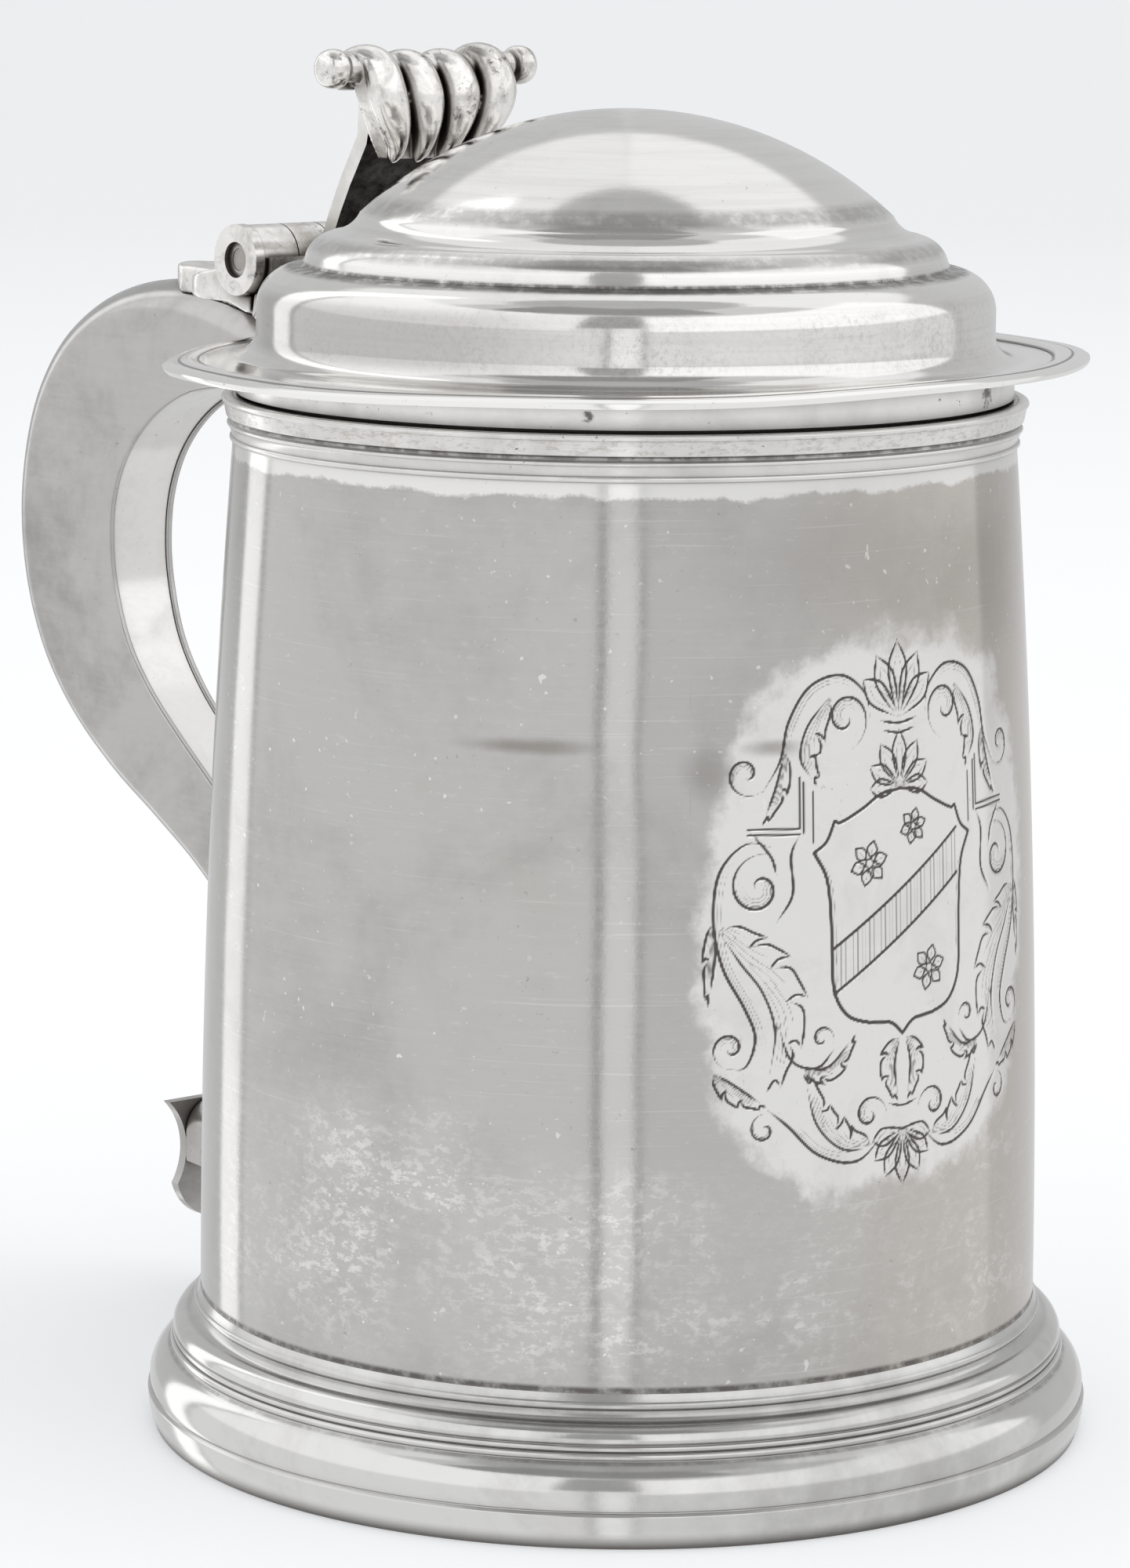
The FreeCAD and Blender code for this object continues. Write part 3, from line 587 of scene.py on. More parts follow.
def foliage(spine, width, lobes, side=1):
    """Acanthus along a spine: pointed lobes down one side, with fine lines trailing from each."""
    run = smooth_run(spine, 12)
    ahead = np.gradient(run, axis=0)
    ahead /= np.linalg.norm(ahead, axis=1)[:, None]
    left = np.stack([-ahead[:, 1], ahead[:, 0]], 1) * side
    last = len(run) - 1

    def spot(share, across):
        at = min(max(share, 0.0), 1.0) * last
        low = min(int(at), last - 1)
        part = at - low
        out = left[low] * (1 - part) + left[low + 1] * part
        on = run[low] * (1 - part) + run[low + 1] * part
        swell = width * sin(pi * (0.14 + 0.76 * min(max(share, 0.0), 1.0)))
        beyond = max(share - 1.0, 0.0) * last * np.linalg.norm(run[-1] - run[-2])
        return tuple(on + out * across * swell + ahead[-1] * beyond)

    step = 1.0 / lobes
    for k in range(lobes):
        start, end = k * step, (k + 1) * step
        tip = spot(end + 0.16 * step, 1.12)
        stroke([spot(start + 0.04 * step, 0.52), spot(start + 0.34 * step, 0.92),
                spot(start + 0.74 * step, 1.0), tip], 0.2, through=4)
        if k < lobes - 1:
            back = [tip, spot(end, 0.82), spot(end + 0.04 * step, 0.52)]
        else:
            back = [tip, spot(1.0, 0.5), spot(1.0 + 0.3 * step, 0.0)]
        stroke(back, 0.19, through=4)
        for share in (0.25, 0.5, 0.75):
            stroke([spot(end - 0.12 * step, 0.96 * share), spot(start + 0.2 * step, 0.7 * share),
                    spot(start - 0.7 * step, 0.42 * share)], FINE, through=4)
    stroke(run, 0.19)


def draw_shield():
    """The outline, and a fine line inside it."""
    side = [(0.0, 15.6), (-3.2, 15.2), (-6.2, 13.6), (-9.4, 12.2), (-10.4, 12.4)]
    stroke(side, 0.24, taper=False)
    stroke([(-10.4, 12.4), (-11.6, 9.9), (-13.4, 8.6)], 0.24, taper=False)
    stroke([(-13.4, 8.6), (-11.6, 5.2), (-11.0, 0.0), (-10.9, -5.0), (-10.5, -9.4), (-8.6, -12.4),
            (-5.4, -13.6), (-2.0, -14.0), (0.0, -15.6)], 0.26, taper=False)
    stroke([(-12.6, 8.3), (-11.0, 5.0), (-10.4, 0.0), (-10.3, -5.0), (-9.9, -9.2)], FINE)


def draw_band():
    """A slanting band of close hatching across the shield."""
    half, slope, end = 2.9, 0.62, 10.6
    for side in (-half, half):
        single([(-end, side - slope * end), (end, side + slope * end)], 0.22)
    for u in np.arange(-10.2, 10.4, 0.62):
        single([(u, -half + slope * u + 0.15), (u, half + slope * u - 0.15)], 0.11)


def draw_rosette(centre_u, centre_v, size):
    """Six pointed petals round a small ring."""
    def at(share, angle):
        return (centre_u + share * size * cos(angle),
                centre_v + share * size * sin(angle))

    for petal in range(6):
        middle = radians(60 * petal + 15)
        for lean in (-24, 24):
            side = middle + radians(lean)
            single(smooth_run([at(0.24, middle), at(0.68, side), at(1.0, middle)], 5), 0.17)
        single([at(0.34, middle), at(0.72, middle)], FINE)
    single([at(0.2, t) for t in np.linspace(0, 2 * pi, 11)], 0.15)


def draw_palmette(base, height, spread, blades, width):
    """Fan of blades rising from a point on the middle line; height may be negative."""
    for k in range(blades):
        lean = radians(spread * k)
        reach = height * (1 - 0.1 * k)
        tip = (reach * sin(lean), base + reach * cos(lean))
        wide = abs(height) * 0.16
        for sign in (1, -1):
            across = (cos(lean) * wide * sign, -sin(lean) * wide * sign)

            def along(share, out):
                return (share * tip[0] + out * across[0],
                        base + share * (tip[1] - base) + out * across[1])

            stroke([(0.12 * across[0], base), along(0.62, 1.0), tip], width)
            stroke([(0.05 * across[0], base + 0.1 * reach), along(0.55, 0.45),
                    along(0.86, 0.0)], FINE, through=5)


def draw_mantling():
    """Scrolls, strapwork and leaves round the shield; each stroke is mirrored."""
    # palmettes of the crest, and the ties of crest and festoon
    draw_palmette(24.6, 9.8, 24, 3, 0.2)
    draw_palmette(15.9, 7.2, 30, 4, 0.18)
    for half, v, width in ((3.1, 24.4, 0.2), (2.9, 23.2, 0.18), (2.3, -24.4, 0.18),
                           (2.3, -27.4, 0.18)):
        stroke([(-half, v), (0.0, v - 0.5), (half, v)], width)
    # upper scrolls
    shaded(curl((-8.7, 25.2), 4.1, -75, 450, 0.14), (0.4, 0.8, 1.2), 0.21)
    shaded([(-4.7, 24.6), (-5.6, 28.2), (-9.2, 30.6), (-13.8, 29.4), (-16.8, 25.2), (-18.0, 20.4),
            (-20.4, 16.6)], (0.5, 0.95), 0.22)
    shaded(curl((-22.6, 18.9), 3.1, -45, -430, 0.14), (-0.4, -0.75), 0.2)
    foliage([(-11.0, 28.0), (-14.2, 24.4), (-15.2, 20.6), (-13.6, 17.8)], 2.9, 3)
    foliage([(-17.4, 21.4), (-18.6, 17.2), (-20.0, 13.6)], 1.7, 2)
    # strapwork
    for shift in (0.0, 0.6, 1.9):
        stroke([(-15.4 + shift, 18.2 - shift), (-15.4 + shift, 11.8 - shift)], 0.17, taper=False)
    for shift in (0.0, 0.7):
        stroke([(-15.4, 11.8 - shift), (-22.4, 12.0 - shift)], 0.17, taper=False)
    stroke([(-22.4, 12.0), (-19.4, 8.6), (-18.6, 6.2)], 0.2)
    stroke([(-15.4, 11.1), (-16.6, 8.4), (-16.4, 3.6), (-18.6, 0.2)], 0.2)
    # middle scrolls
    shaded(curl((-20.9, 4.6), 4.6, 70, 470, 0.12), (0.42, 0.84, 1.26), 0.22)
    shaded([(-18.8, 9.6), (-22.6, 10.2), (-26.0, 6.8), (-26.8, 0.8), (-25.6, -5.2), (-22.8, -10.4),
            (-21.4, -14.2), (-22.6, -17.8), (-25.0, -18.0)], (0.55, 1.0), 0.23)
    foliage([(-26.2, -0.4), (-23.4, -4.6), (-20.4, -8.6), (-18.8, -13.6), (-19.6, -19.6)], 5.0, 5)
    foliage([(-26.6, 0.6), (-26.6, -4.0), (-27.2, -8.6)], 1.5, 2, -1)
    shaded(curl((-24.6, -15.4), 2.7, -100, -420, 0.14), (-0.4, -0.75), 0.2)
    foliage([(-26.6, -18.4), (-23.6, -20.4), (-20.6, -22.6)], 2.2, 3, -1)
    shaded([(-18.6, -12.2), (-16.6, -17.4), (-13.0, -18.6), (-10.6, -16.4)], (-0.4,), 0.2)
    shaded(curl((-12.4, -14.9), 1.9, -30, 400, 0.16), (0.35,), 0.18)
    foliage([(-14.8, -18.6), (-11.4, -18.6), (-8.2, -15.6)], 1.9, 3, -1)
    # lower festoon
    foliage([(0.5, -16.2), (1.3, -19.4), (0.9, -23.4)], 2.4, 3)
    shaded(curl((-5.4, -25.4), 2.9, -15, 430, 0.14), (0.4, 0.8), 0.2)
    shaded([(-2.6, -27.6), (-7.2, -31.2), (-12.8, -29.8), (-17.0, -25.8), (-19.8, -23.4)],
           (-0.5, -1.0), 0.22)
    foliage([(-5.0, -29.6), (-9.4, -29.4), (-13.0, -26.0), (-14.6, -20.6)], 3.2, 4, -1)
    shaded(curl((-20.2, -26.0), 2.3, 70, 420, 0.14), (0.36,), 0.18)
    draw_palmette(-28.0, -7.2, 26, 4, 0.19)


def halo_distance(u, v):
    """Millimetres outside the rounded outline that polishing has kept clean; negative inside."""
    half_u, half_v = PATCH_HALF
    reach = (abs(u / half_u) ** PATCH_POWER + abs(v / half_v) ** PATCH_POWER) ** (1 / PATCH_POWER)
    return (reach - 1.0) * PATCH_MEAN


def cut_fields(us, vs):
    """Depth of cut, from nought to one, on a grid of u by v."""
    depth = np.zeros((len(vs), len(us)))
    for line, width in strokes:
        for a, b, w in zip(line[:-1], line[1:], width[:-1]):
            reach = w + 0.3
            cols = slice(*np.searchsorted(us, (min(a[0], b[0]) - reach, max(a[0], b[0]) + reach)))
            rows = slice(*np.searchsorted(vs, (min(a[1], b[1]) - reach, max(a[1], b[1]) + reach)))
            grid_u, grid_v = np.meshgrid(us[cols], vs[rows])
            if grid_u.size == 0:
                continue
            d = b - a
            share = ((grid_u - a[0]) * d[0] + (grid_v - a[1]) * d[1]) / max(float(d @ d), 1e-9)
            share = np.clip(share, 0, 1)
            away = np.hypot(grid_u - a[0] - share * d[0], grid_v - a[1] - share * d[1])
            cut = np.clip((w + 0.05 - away) / 0.16, 0, 1) * min(1.0, 0.25 + 4.2 * w)
            depth[rows, cols] = np.maximum(depth[rows, cols], cut)
    return depth


# ---- Drum, foot and rim

def drum_radius(height):
    """Outer radius of the drum's wall."""
    low, high = FOOT_HEIGHT + 0.7, RIM_START
    t = min(1.0, max(0.0, (height - low) / (high - low)))
    chord = hypot(DRUM_BASE - DRUM_TOP, high - low)
    return DRUM_BASE + (DRUM_TOP - DRUM_BASE) * t + chord ** 2 / (2 * BELLY) * t * (1 - t)


# Dents: degrees from +X and half width, height and half height, depth
DENTS = [(-38.0, 15.0, 99.0, 4.5, 0.16), (-33.0, 4.0, 97.5, 5.0, 0.10)]


def dent(angle, height):
    """How far the wall is knocked in at a spot beside the engraving."""
    turn = degrees(atan2(sin(angle), cos(angle)))
    return sum(depth * exp(-((turn - at_turn) / wide) ** 2 - ((height - at_height) / tall) ** 2)
               for at_turn, wide, at_height, tall, depth in DENTS)


def make_drum():
    """The wall, with a fine grid of points where the engraving is cut into it."""
    # degrees of a coarse column and fine columns in it; fine rows and their step in height
    coarse, split, rows_in, step = 1.2, 5, 320, 0.222
    # coarse columns on each side of the front that are fine, and fine rows to a coarse one
    half_cols, stride = 26, 20
    low = MIDDLE - step * rows_in / 2
    fine_z = low + step * np.arange(rows_in + 1)
    fine_a = np.radians(coarse / split * np.arange(-half_cols * split, half_cols * split + 1))
    draw_shield()
    draw_band()
    for rosette in ((-5.2, 6.6, 2.9), (2.2, 10.6, 2.3), (4.8, -7.8, 2.9)):
        draw_rosette(*rosette)
    draw_mantling()
    depth = cut_fields(fine_a * ENGRAVED_RADIUS, fine_z - MIDDLE)
    heights = ([FOOT_HEIGHT + 0.7] + list(np.linspace(22, low - 1.5, 7))
               + list(fine_z[::stride]) + list(np.linspace(fine_z[-1] + 1.5, RIM_START, 7)))
    outside = [(DRUM_BASE, DRUM_HEM)] + [(drum_radius(z), z) for z in heights]
    patch_row = heights.index(fine_z[0]) + 1
    patch_end = patch_row + rows_in // stride
    inside = [(drum_radius(z) - DRUM_WALL, z) for z in np.linspace(RIM_START, FOOT_HEIGHT, 7)]
    outline = outside + [(DRUM_TOP, DRUM_HEIGHT), (DRUM_TOP - DRUM_WALL, DRUM_HEIGHT)]
    outline += inside + [(DRUM_BASE - DRUM_WALL, DRUM_HEM)]
    turns, rows = round(360 / coarse), len(outline)
    points, unpolished = [], []
    for t in range(turns):
        angle = radians(coarse * t)
        for r, z in outline:
            r = r - dent(angle, z)
            points.append(polar(r, angle, z))
            side = atan2(sin(angle), cos(angle))
            unpolished.append(halo_distance(side * ENGRAVED_RADIUS, z - MIDDLE))
    cut = [0.0] * len(points)
    first = len(points)
    grid = np.arange(first, first + depth.size).reshape(depth.shape).tolist()
    for row, z in enumerate(fine_z):
        for col, a in enumerate(fine_a):
            r = drum_radius(z) - dent(a, z) - CUT_DEPTH * depth[row, col]
            points.append(polar(r, a, z))
            cut.append(float(depth[row, col]))
            unpolished.append(halo_distance(a * ENGRAVED_RADIUS, z - MIDDLE))
    faces = []
    for turn in range(turns):
        here, there = turn * rows, (turn + 1) % turns * rows
        signed = turn if turn < turns / 2 else turn - turns
        in_patch = -half_cols <= signed < half_cols
        column = (signed + half_cols) * split
        for row in range(rows):
            after = (row + 1) % rows
            if in_patch and patch_row <= row < patch_end:
                continue
            face = [here + row, here + after, there + after, there + row]
            if in_patch and row == patch_row - 1:
                face = [here + row] + grid[0][column:column + split + 1] + [there + row]
            if in_patch and row == patch_end:
                face = [here + after, there + after] + grid[-1][column:column + split + 1][::-1]
            if patch_row <= row < patch_end and signed in (-half_cols - 1, half_cols):
                first_fine = (row - patch_row) * stride
                side = 0 if signed < 0 else -1
                edge = [line[side] for line in grid[first_fine:first_fine + stride + 1]]
                if signed < 0:
                    face = [here + row, here + after] + edge[::-1]
                else:
                    face = edge + [there + after, there + row]
            faces.append(face)
    for below, above in zip(grid, grid[1:]):
        for col in range(len(below) - 1):
            faces.append((below[col], above[col], above[col + 1], below[col + 1]))
    mesh = bpy.data.meshes.new("drum_wall")
    mesh.from_pydata(in_metres(points), [], faces)
    for name, values in (("cut", cut), ("unpolished", unpolished)):
        mesh.attributes.new(name, "FLOAT", "POINT").data.foreach_set("value", values)
    clean_mesh(mesh, slivers=False)
    finish_piece("drum_wall", mesh, drum_silver, "tankard", "silver_body", "drum", 60.0)


FOOT = [(56.3, 18.3), (56.8, 17.3), (56.8, 16.2, 0.62), (56.9, 15.8), (58.1, 14.9, -1.3),
        (60.05, 12.9, 2.3), (59.75, 12.5), (59.85, 11.65, 0.48), (60.25, 10.65, 0.6),
        (60.55, 10.35), (63.15, 5.1, 5.2), (63.0, 4.8), (63.5, 4.4), (62.6, 0.0, 12.0),
        (61.4, 0.0), (61.9, 4.6), (58.7, 10.3), (56.3, 11.6)]
RIM = [(51.7, 138.5), (51.7, 132.5), (51.82, 132.5), (51.82, 133.3, -0.42), (51.9, 133.6),
       (52.3, 134.55, 2.4), (52.3, 135.05, -0.28), (52.1, 135.3), (52.1, 135.6), (52.55, 135.85),
       (52.9, 137.65), (52.9, 138.5, -0.46)]


def make_foot():
    turned_piece("foot_moulding", expand(FOOT, 8.0), None, foot_silver, "tankard", "silver_foot",
                 "foot_ring", 30.0, 0.1)


def make_rim():
    turned_piece("rim_reeding", expand(RIM, 10.0), None, rim_silver, "tankard", "silver_body",
                 "rim_moulding", 30.0, 0.06)


# ---- The lid

def cap_radius(reach, rise):
    """Radius of the arc that rises so far over half its chord."""
    return (reach * reach + rise * rise) / (2 * rise)


RISE = LID_TOP - DOME_FOOT
LID = [(0.0, LID_TOP), (DOME, DOME_FOOT, cap_radius(DOME, RISE)),
       (DOME + 2.6, DOME_FOOT - 2.3, -4.5), (DOME + 3.4, DOME_FOOT - 2.6),
       (DOME + 7.2, DOME_FOOT - 5.8, 4.2), (DOME + 7.6, DOME_FOOT - 6.6),
       (DOME + 8.6, DOME_FOOT - 6.9), (LID_WALL, DOME_FOOT - 11.9, 5.4),
       (LID_WALL, UNDERSIDE + LID_SHEET + 3.0), (LID_WALL + 3.4, UNDERSIDE + LID_SHEET, -3.6),
       (FLANGE - 0.6, UNDERSIDE + LID_SHEET), (FLANGE - 0.6, UNDERSIDE),
       (LID_WALL - LID_SHEET, UNDERSIDE), (LID_WALL - LID_SHEET, DOME_FOOT - 12.6),
       (DOME + 7.4, DOME_FOOT - 8.2, -5.0), (DOME + 2.0, DOME_FOOT - 3.9),
       (DOME - 0.6, DOME_FOOT - 1.1), (0.0, LID_TOP - LID_SHEET,
                                       -cap_radius(DOME - 0.6, RISE + 1.1 - LID_SHEET))]
REEDING = [(FLANGE - 0.6, UNDERSIDE), (FLANGE - 0.6, UNDERSIDE + 0.9),
           (FLANGE - 5.0, UNDERSIDE + 0.9), (FLANGE - 2.5, UNDERSIDE + 1.2, 2.8),
           (FLANGE - 2.2, UNDERSIDE + 1.1), (FLANGE - 0.15, UNDERSIDE + 0.7, 2.2),
           (FLANGE - 0.3, UNDERSIDE, 0.9)]
BEZEL = [(48.3, UNDERSIDE), (51.2, UNDERSIDE), (51.2, 138.8), (49.5, 138.8), (49.2, 133.7),
         (48.2, 133.7)]


def flange_shape(radius, angle, height):
    """The flange is a little tilted and bent, as a spun lid that has been dropped is."""
    out = ease(radius, LID_WALL + 1.0, FLANGE)
    tilt = 1.0 * cos(angle - radians(50.0)) - 0.1
    wave = 0.18 * sin(3 * angle + 0.6) + 0.12 * sin(7 * angle + 1.9)
    return radius, height + out * (tilt + wave)


def make_lid():
    turned_piece("lid_shell", expand(LID, 6.0), flange_shape, lid_silver, "lid", "silver_lid",
                 "lid_dome", 40.0)
    turned_piece("flange_edge_reeding", expand(REEDING, 12.0), flange_shape, lid_silver, "lid",
                 "silver_lid", "flange_reeding", 50.0)
    turned_piece("lid_collar", BEZEL, None, rim_silver, "lid", "silver_lid", "lid_bezel",
                 30.0, 0.1)


# ---- The handle: x and z of its back and of its inner strip, and half its width, from drum to tail

CREST_INSET = 0.03          # keeps the visible back inside the CAD's
HANDLE_SHEET = 1.0

CREST = [(-46.0, 142.0), (-60.0, 142.2), (-72.0, 144.2), (-84.0, 146.6), (-95.5, 147.6),
         (-108.0, 146.4), (-118.8, 142.7), (-128.0, 136.2), (-134.6, 126.4), (-137.9, 113.5),
         (-137.1, 101.0), (-132.9, 90.0), (-125.6, 81.0), (-115.3, 73.3), (-104.0, 67.2),
         (-93.0, 61.0), (-82.6, 53.0), (-74.4, 43.0), (-72.4, 33.4), (-77.4, 27.6),
         (-85.6, 26.2), (-93.0, 26.8)]
STRIP = [(-46.0, 130.4), (-60.0, 131.2), (-70.5, 132.6), (-80.5, 133.2), (-89.3, 132.2),
         (-97.0, 129.2), (-103.0, 125.2), (-107.5, 120.2), (-110.2, 114.2), (-110.9, 107.6),
         (-110.0, 101.0), (-107.2, 93.6), (-102.2, 87.2), (-95.0, 81.0), (-86.2, 74.4),
         (-76.0, 66.0), (-65.8, 55.6), (-56.85, 44.4), (-56.65, 31.0), (-64.0, 20.6),
         (-77.8, 16.8), (-93.0, 17.2)]
HALF_WIDTH = [7.0, 6.9, 6.7, 6.4, 6.1, 5.9, 5.8, 5.8, 5.8, 5.7, 5.6,
              5.4, 5.2, 5.0, 4.9, 4.8, 4.8, 4.8, 4.8, 4.8, 4.9, 5.2]


def u_section(foot, crest, half, inset=0.0):
    """Points of a U from one edge round the back to the other; flat cheeks and a round back."""
    out = crest - foot
    length = np.linalg.norm(out)
    out = out / length
    half = half - inset
    spring = length - inset - half
    ring = [(share * spring, -half) for share in np.linspace(0.0, 1.0, 5)[:-1]]
    for k in range(29):
        turn = -pi / 2 + pi * k / 28
        ring.append((spring + half * cos(turn), half * sin(turn)))
    ring += [(share * spring, half) for share in np.linspace(1.0, 0.0, 5)[1:]]
    return [(foot[0] + out[0] * d, y, foot[1] + out[1] * d) for d, y in ring]


def clip_to_drum(rings):
    """Starts every long line of a handle sheet just inside the drum's outer face."""
    grid = np.array(rings)
    radius = np.vectorize(drum_radius)(grid[:, :, 2])
    gap = np.hypot(grid[:, :, 0], grid[:, :, 1]) - radius
    depth, settled = -0.4, 24       # how deep a line may start; first ring left where it was
    for line in range(grid.shape[1]):
        first = int(np.argmax(gap[:, line] >= depth))
        if not 0 < first < settled:
            continue
        source = grid[:, line].copy()
        for k, at in enumerate(np.linspace(first, settled, settled + 1)):
            low = int(at)
            high = min(low + 1, len(rings) - 1)
            grid[k, line] = source[low] + (source[high] - source[low]) * (at - low)
    return [list(ring) for ring in grid]


def make_handle():
    rows = smooth_run([c + s + (h,) for c, s, h in zip(CREST, STRIP, HALF_WIDTH)], 8)
    outer, inner, plate = [], [], []
    for cx, cz, sx, sz, half in rows:
        crest, foot = np.array([cx, cz]), np.array([sx, sz])
        out = (crest - foot) / np.linalg.norm(crest - foot)
        crest = crest - out * CREST_INSET
        outer.append(u_section(foot, crest, half))
        inner.append(u_section(foot, crest, half, HANDLE_SHEET))
        wide = half - 0.95
        low, high = foot + out * 0.35, foot + out * 1.3
        plate.append([(low[0], y, low[1]) for y in np.linspace(-wide, wide, 9)]
                     + [(high[0], y, high[1]) for y in np.linspace(wide, -wide, 9)])
    shell = [list(a) + list(reversed(b)) for a, b in zip(outer, inner)]
    points, faces = loft(clip_to_drum(shell))
    make_piece("handle_shell", points, faces, handle_silver, "tankard", "silver_handle",
               "handle_back", 40.0, 0.25)
    points, faces = loft(clip_to_drum(plate))
    make_piece("handle_inner_strip", points, faces, strip_silver, "tankard", "silver_handle",
               "handle_strip", 40.0, 0.15)


# ---- The thumbpiece and the castings of the hinge

BAR = (-42.5, 179.9)
BAR_RADIUS, BAR_HALF, BUTTON_START = 1.9, 14.3, 14.15
REED_PITCH = 6.45
# A reed's middle line from behind the bar, over it and down the front: x and z from the bar,
# sideways shift, half width, half thickness
REED_RUN = [(-2.4, -3.0, -2.5, 1.4, 0.9), (-2.7, -0.6, -2.1, 2.1, 1.2), (-1.9, 1.0, -1.5, 2.5, 1.4),
            (-0.2, 1.75, -0.8, 2.7, 1.5), (1.6, 0.9, -0.2, 2.8, 1.6), (2.6, -1.2, 0.3, 2.9, 1.8),
            (3.0, -4.0, 0.5, 3.05, 2.1), (2.8, -7.0, 0.4, 2.9, 2.1), (2.0, -9.8, 0.2, 2.3, 1.7),
            (0.9, -11.7, 0.0, 1.5, 1.1), (0.1, -12.7, 0.0, 0.6, 0.5)]


def reed_rings(index):
    """Elliptical rings along one twisted reed."""
    rows = smooth_run(REED_RUN, 4)
    middle = (index - 1.5) * REED_PITCH
    low = 0.0 if index in (0, 3) else -0.7
    run = []
    for x, z, shift, wide, thick in rows:
        narrow = 1.0 - 0.36 * ease(-z, 2.0, 13.0)
        lift = low * ease(z, -6.0, 0.0)
        run.append((x, middle * narrow + shift, z + lift, wide * narrow, thick))
    run = np.array(run)
    ahead = np.gradient(run[:, :3], axis=0)
    rings = []
    for (x, y, z, wide, thick), along in zip(run, ahead):
        along = along / np.linalg.norm(along)
        side = np.array([0.0, 1.0, 0.0]) - along * along[1]
        side /= np.linalg.norm(side)
        out = np.cross(along, side)
        centre = np.array([BAR[0] + x, y, BAR[1] + z])
        rings.append([tuple(centre + side * wide * cos(a) + out * thick * sin(a))
                      for a in circle(24)])
    return rings


def bar_ring(y, radius, count):
    """A ring round the bar."""
    return [(BAR[0] + radius * cos(a), y, BAR[1] + radius * sin(a)) for a in circle(count)]


def backing_rings():
    """The web behind the reeds, narrowing downwards."""
    rings = []
    for z, half, back, front in ((-0.5, 12.4, -1.5, 1.6), (-5.0, 11.0, -1.0, 2.2),
                                 (-9.0, 8.8, -1.8, 1.6), (-12.4, 6.6, -2.6, 0.0)):
        rings.append([(BAR[0] + x, y, BAR[1] + z) for x, y in
                      ((back, -half), (front, -half), (front, half), (back, half))])
    return rings


def join_lofts(lofts):
    """Points and faces of several lofts in one mesh."""
    points, faces = [], []
    for rings in lofts:
        more_points, more_faces = loft(rings)
        faces += [tuple(i + len(points) for i in face) for face in more_faces]
        points += more_points
    return points, faces


def soften(piece, voxel, rounds):
    """Melts overlapping solids into one rounded casting."""
    remesh = piece.modifiers.new("cast", "REMESH")
    remesh.mode = "VOXEL"
    remesh.voxel_size = voxel * MM
    remesh.use_smooth_shade = True
    smooth = piece.modifiers.new("worn", "SMOOTH")
    smooth.factor = 0.5
    smooth.iterations = rounds


def make_thumb_reeds():
    lofts = [reed_rings(index) for index in range(4)]
    lofts += [[bar_ring(y, BAR_RADIUS, 24) for y in (-BAR_HALF, BAR_HALF)], backing_rings()]
    points, faces = join_lofts(lofts)
    piece = make_piece("thumb_reeds", points, faces, thumb_silver, "lid", "silver_thumbpiece",
                       "thumb_scroll")
    soften(piece, 0.18, 7)


# Half section of a button: distance along the bar from its inner end, radius
BUTTON = [(0.0, 0.0), (0.0, 1.8), (0.35, 1.75), (0.6, 2.25), (1.1, 2.6), (2.2, 2.68), (3.1, 2.45),
          (3.7, 1.95), (4.0, 1.1), (4.08, 0.0)]


def make_button(name, side, stands_for):
    points, faces = loft([bar_ring(side * (BUTTON_START + along), max(radius, 0.02), 48)
                          for along, radius in smooth_run(BUTTON, 3)])
    make_piece(name, points, faces, thumb_silver, "lid", "silver_thumbpiece", stands_for, 60.0)


# ---- Camera, stage and light

CAMERA_TURN = 40.3          # degrees from +X towards -Y
CAMERA_PITCH, CAMERA_YAW, CAMERA_ROLL = 9.705, -0.612, 0.45
CAMERA_REACH, CAMERA_HEIGHT = 0.703, 0.2064
LENS, SENSOR = 122.5206, 36.0
STAGE_RADIUS = 14.0         # metres, as the camera's reach and height are


def make_camera():
    azimuth, pitch = radians(CAMERA_TURN), radians(CAMERA_PITCH)
    yaw, roll = radians(CAMERA_YAW), radians(CAMERA_ROLL)
    ahead = Vector((-cos(azimuth), sin(azimuth), 0))
    right = Vector((sin(azimuth), cos(azimuth), 0))
    up = Vector((0, 0, 1))
    level = ahead * cos(yaw) + right * sin(yaw)
    look = level * cos(pitch) - up * sin(pitch)
    side = right * cos(yaw) - ahead * sin(yaw)
    top = side.cross(look)
    side, top = (side * cos(roll) + top * sin(roll),
                 top * cos(roll) - side * sin(roll))
    data = bpy.data.cameras.new("camera")
    data.lens = LENS
    data.sensor_width = SENSOR
    data.clip_start = 0.01
    camera = bpy.data.objects.new("camera", data)
    axes = Matrix((side, top, -look)).transposed().to_4x4()
    camera.matrix_world = Matrix.Translation(-ahead * CAMERA_REACH + up * CAMERA_HEIGHT) @ axes
    scene.collection.objects.link(camera)
    scene.camera = camera


def make_stage():
    """Wide pale floor, kept out of the silver's reflections, which are the softboxes' alone."""
    mesh = bpy.data.meshes.new("stage")
    mesh.from_pydata([polar(STAGE_RADIUS, a, 0.0) for a in circle(96)], [], [tuple(range(96))])
    mesh.materials.append(plain_stage("pale_paper"))
    stage = bpy.data.objects.new("stage", mesh)
    stage.visible_glossy = False
    scene.collection.objects.link(stage)


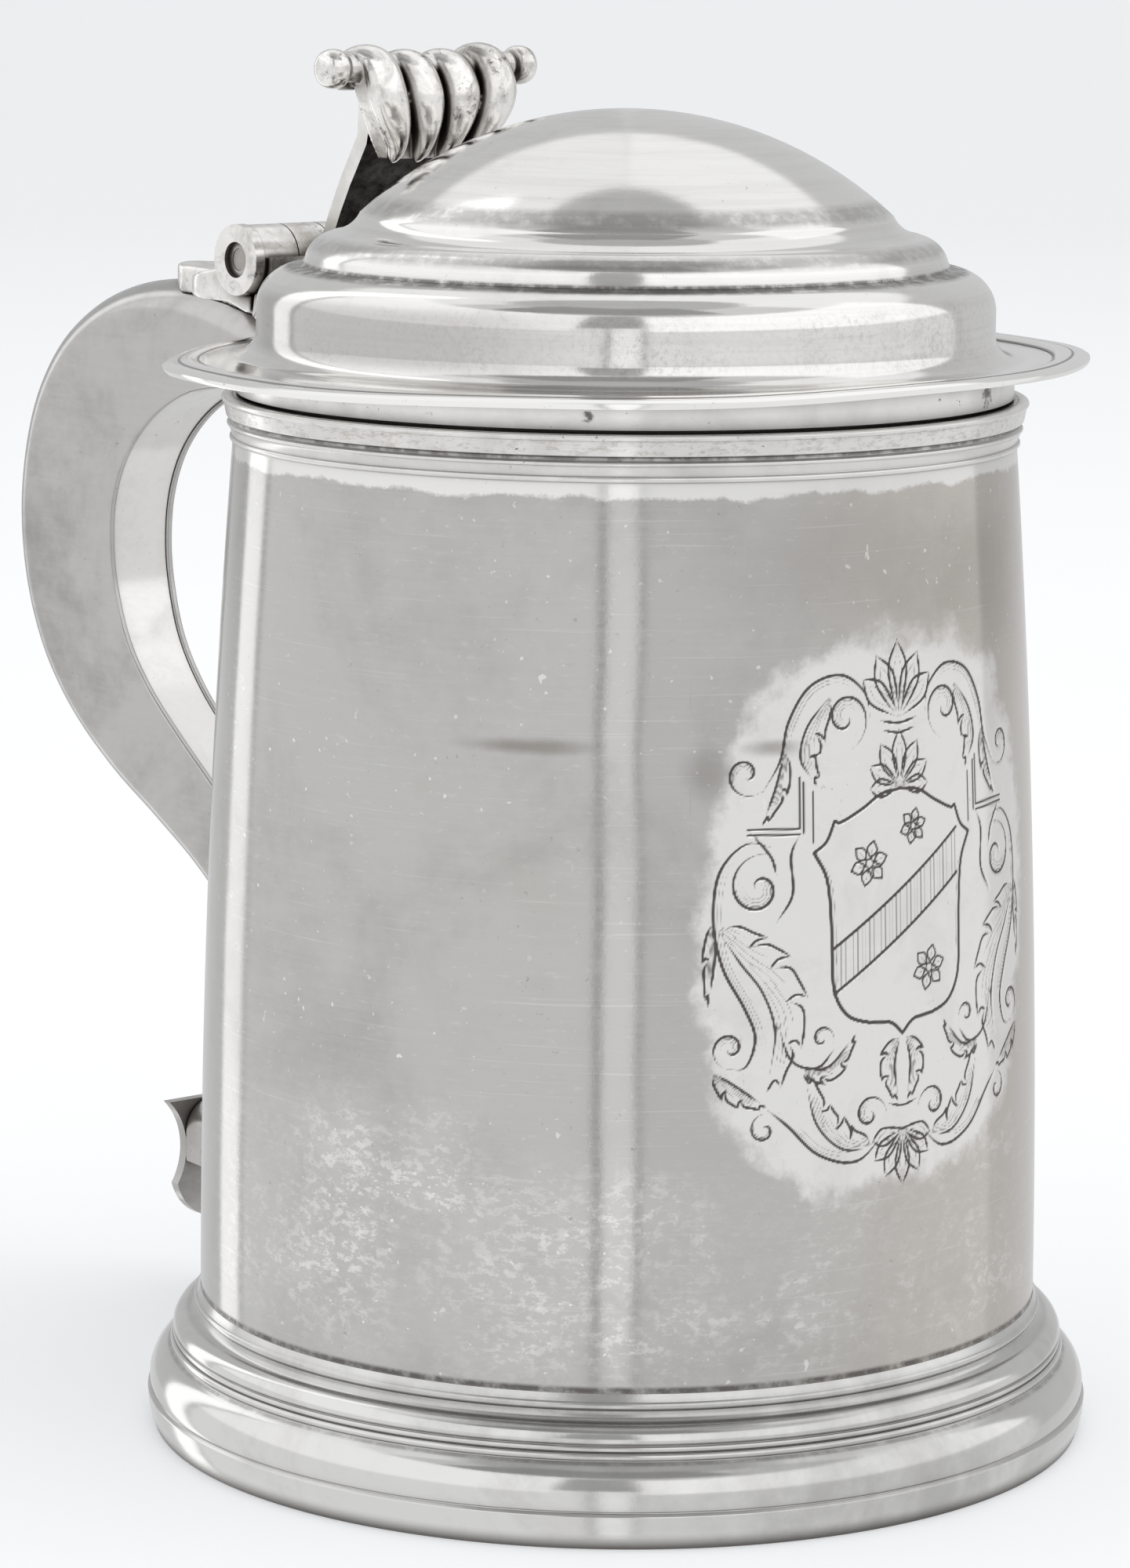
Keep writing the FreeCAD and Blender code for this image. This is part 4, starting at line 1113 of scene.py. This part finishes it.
# Studio panels as seen from the object: left and right turn from the camera's side, low and
# high elevation, brightness. Later ones cover earlier ones.
PANELS = [(-180, -92, -6, 38, 0.60), (92, 180, -6, 38, 0.62), (-180, -92, 38, 72, 0.95),
          (92, 180, 38, 72, 1.0), (-180, 180, 71, 91, 0.52), (-124, -5.5, -90, 57, 0.92),
          (5.5, 122, -90, 50, 0.84), (-4.9, 4.9, -90, 50, 1.06), (-6.6, -4.7, -90, 50, 0.42),
          (4.7, 6.0, -90, 46, 0.42), (-65, 45, 58, 79, 0.36), (-140, -127, -90, 60, 1.45),
          (-124, -16, 14, 57, 1.14), (7, 122, 14, 53, 1.2), (-15, 6, 22, 55, 0.45)]
ROOM_LEVEL, BACKDROP_LEVEL = 0.72, 0.84
PANEL_BLUR = (0.8, 1.5)     # half the width of a panel's soft edge, across and up, in degrees
LAMP_PLACE, LAMP_SIZE, LAMP_POWER = Vector((0.5, 0.35, 1.5)), (1.2, 0.9), 2.2


def make_light():
    """Two tall softboxes with a narrow gap between them, in a pale room, and one overhead."""
    world = bpy.data.worlds.new("studio")
    scene.world = world
    g = Graph(world, "Background", "Generated")
    x, y, z = g.split()
    east, south = cos(radians(CAMERA_TURN)), sin(radians(CAMERA_TURN))
    across = g.plus(g.times(x, south), g.times(y, east))
    near = g.plus(g.times(x, east), g.times(y, -south))
    turn = g.times(g.math("ARCTAN2", across, near), DEGREES)
    rise = g.times(g.math("ARCSINE", z), DEGREES)
    level = ROOM_LEVEL
    for left, right, low, high, brightness in PANELS:
        inside = 1.0
        for value, start, end, blur in ((turn, left, right, PANEL_BLUR[0]),
                                        (rise, low, high, PANEL_BLUR[1])):
            inside = g.times(g.range(value, start - blur, start + blur),
                             g.range(value, end - blur, end + blur, 1.0, 0.0), inside)
        level = g.plus(g.times(level, g.minus(1.0, inside)), g.times(inside, brightness))
    seen = g.node("ShaderNodeLightPath").outputs["Is Camera Ray"]
    level = g.plus(g.times(level, g.minus(1.0, seen)), g.times(seen, BACKDROP_LEVEL))
    g.shader.inputs["Color"].default_value = tone(0.985, 0.99, 1.0)
    g.feed(g.shader.inputs["Strength"], level)
    light = bpy.data.lights.new("ceiling_softbox", "AREA")
    light.shape = "RECTANGLE"
    light.size, light.size_y = LAMP_SIZE
    light.energy = LAMP_POWER
    lamp = bpy.data.objects.new("ceiling_softbox", light)
    aim = (-LAMP_PLACE).to_track_quat("-Z", "Y").to_matrix().to_4x4()
    lamp.matrix_world = Matrix.Translation(LAMP_PLACE) @ aim
    lamp.visible_glossy = False
    scene.collection.objects.link(lamp)
    scene.view_settings.view_transform = "Standard"


def dress(name, material, edge=0.0):
    """Material and softened edges for a piece carried over from the CAD."""
    node = nodes[name]
    node.data.materials.clear()
    node.data.materials.append(material)
    if edge:
        add_bevel(node, edge)


make_camera()
make_stage()
make_light()
make_drum()
make_foot()
make_rim()
make_lid()
make_handle()
make_thumb_reeds()
make_button("thumb_button_near", -1, "thumb_knob_near")
make_button("thumb_button_far", 1, "thumb_knob_far")

dress("floor_disc", floor_silver)
for name in ("handle_knuckle_near", "lid_knuckle_near", "handle_knuckle_middle",
             "lid_knuckle_far", "handle_knuckle_far"):
    dress(name, hinge_silver, 0.12)
for name in ("hinge_cheek_near", "hinge_cheek_far"):
    dress(name, hinge_silver, 0.3)
dress("lid_hinge_leaf", hinge_silver, 0.5)
dress("hinge_bracket", hinge_silver)
soften(nodes["hinge_bracket"], 0.22, 40)
dress("thumb_standard", standard_silver, 0.3)
dress("hinge_pin", pin_silver)
dress("handle_terminal", handle_silver, 0.3)
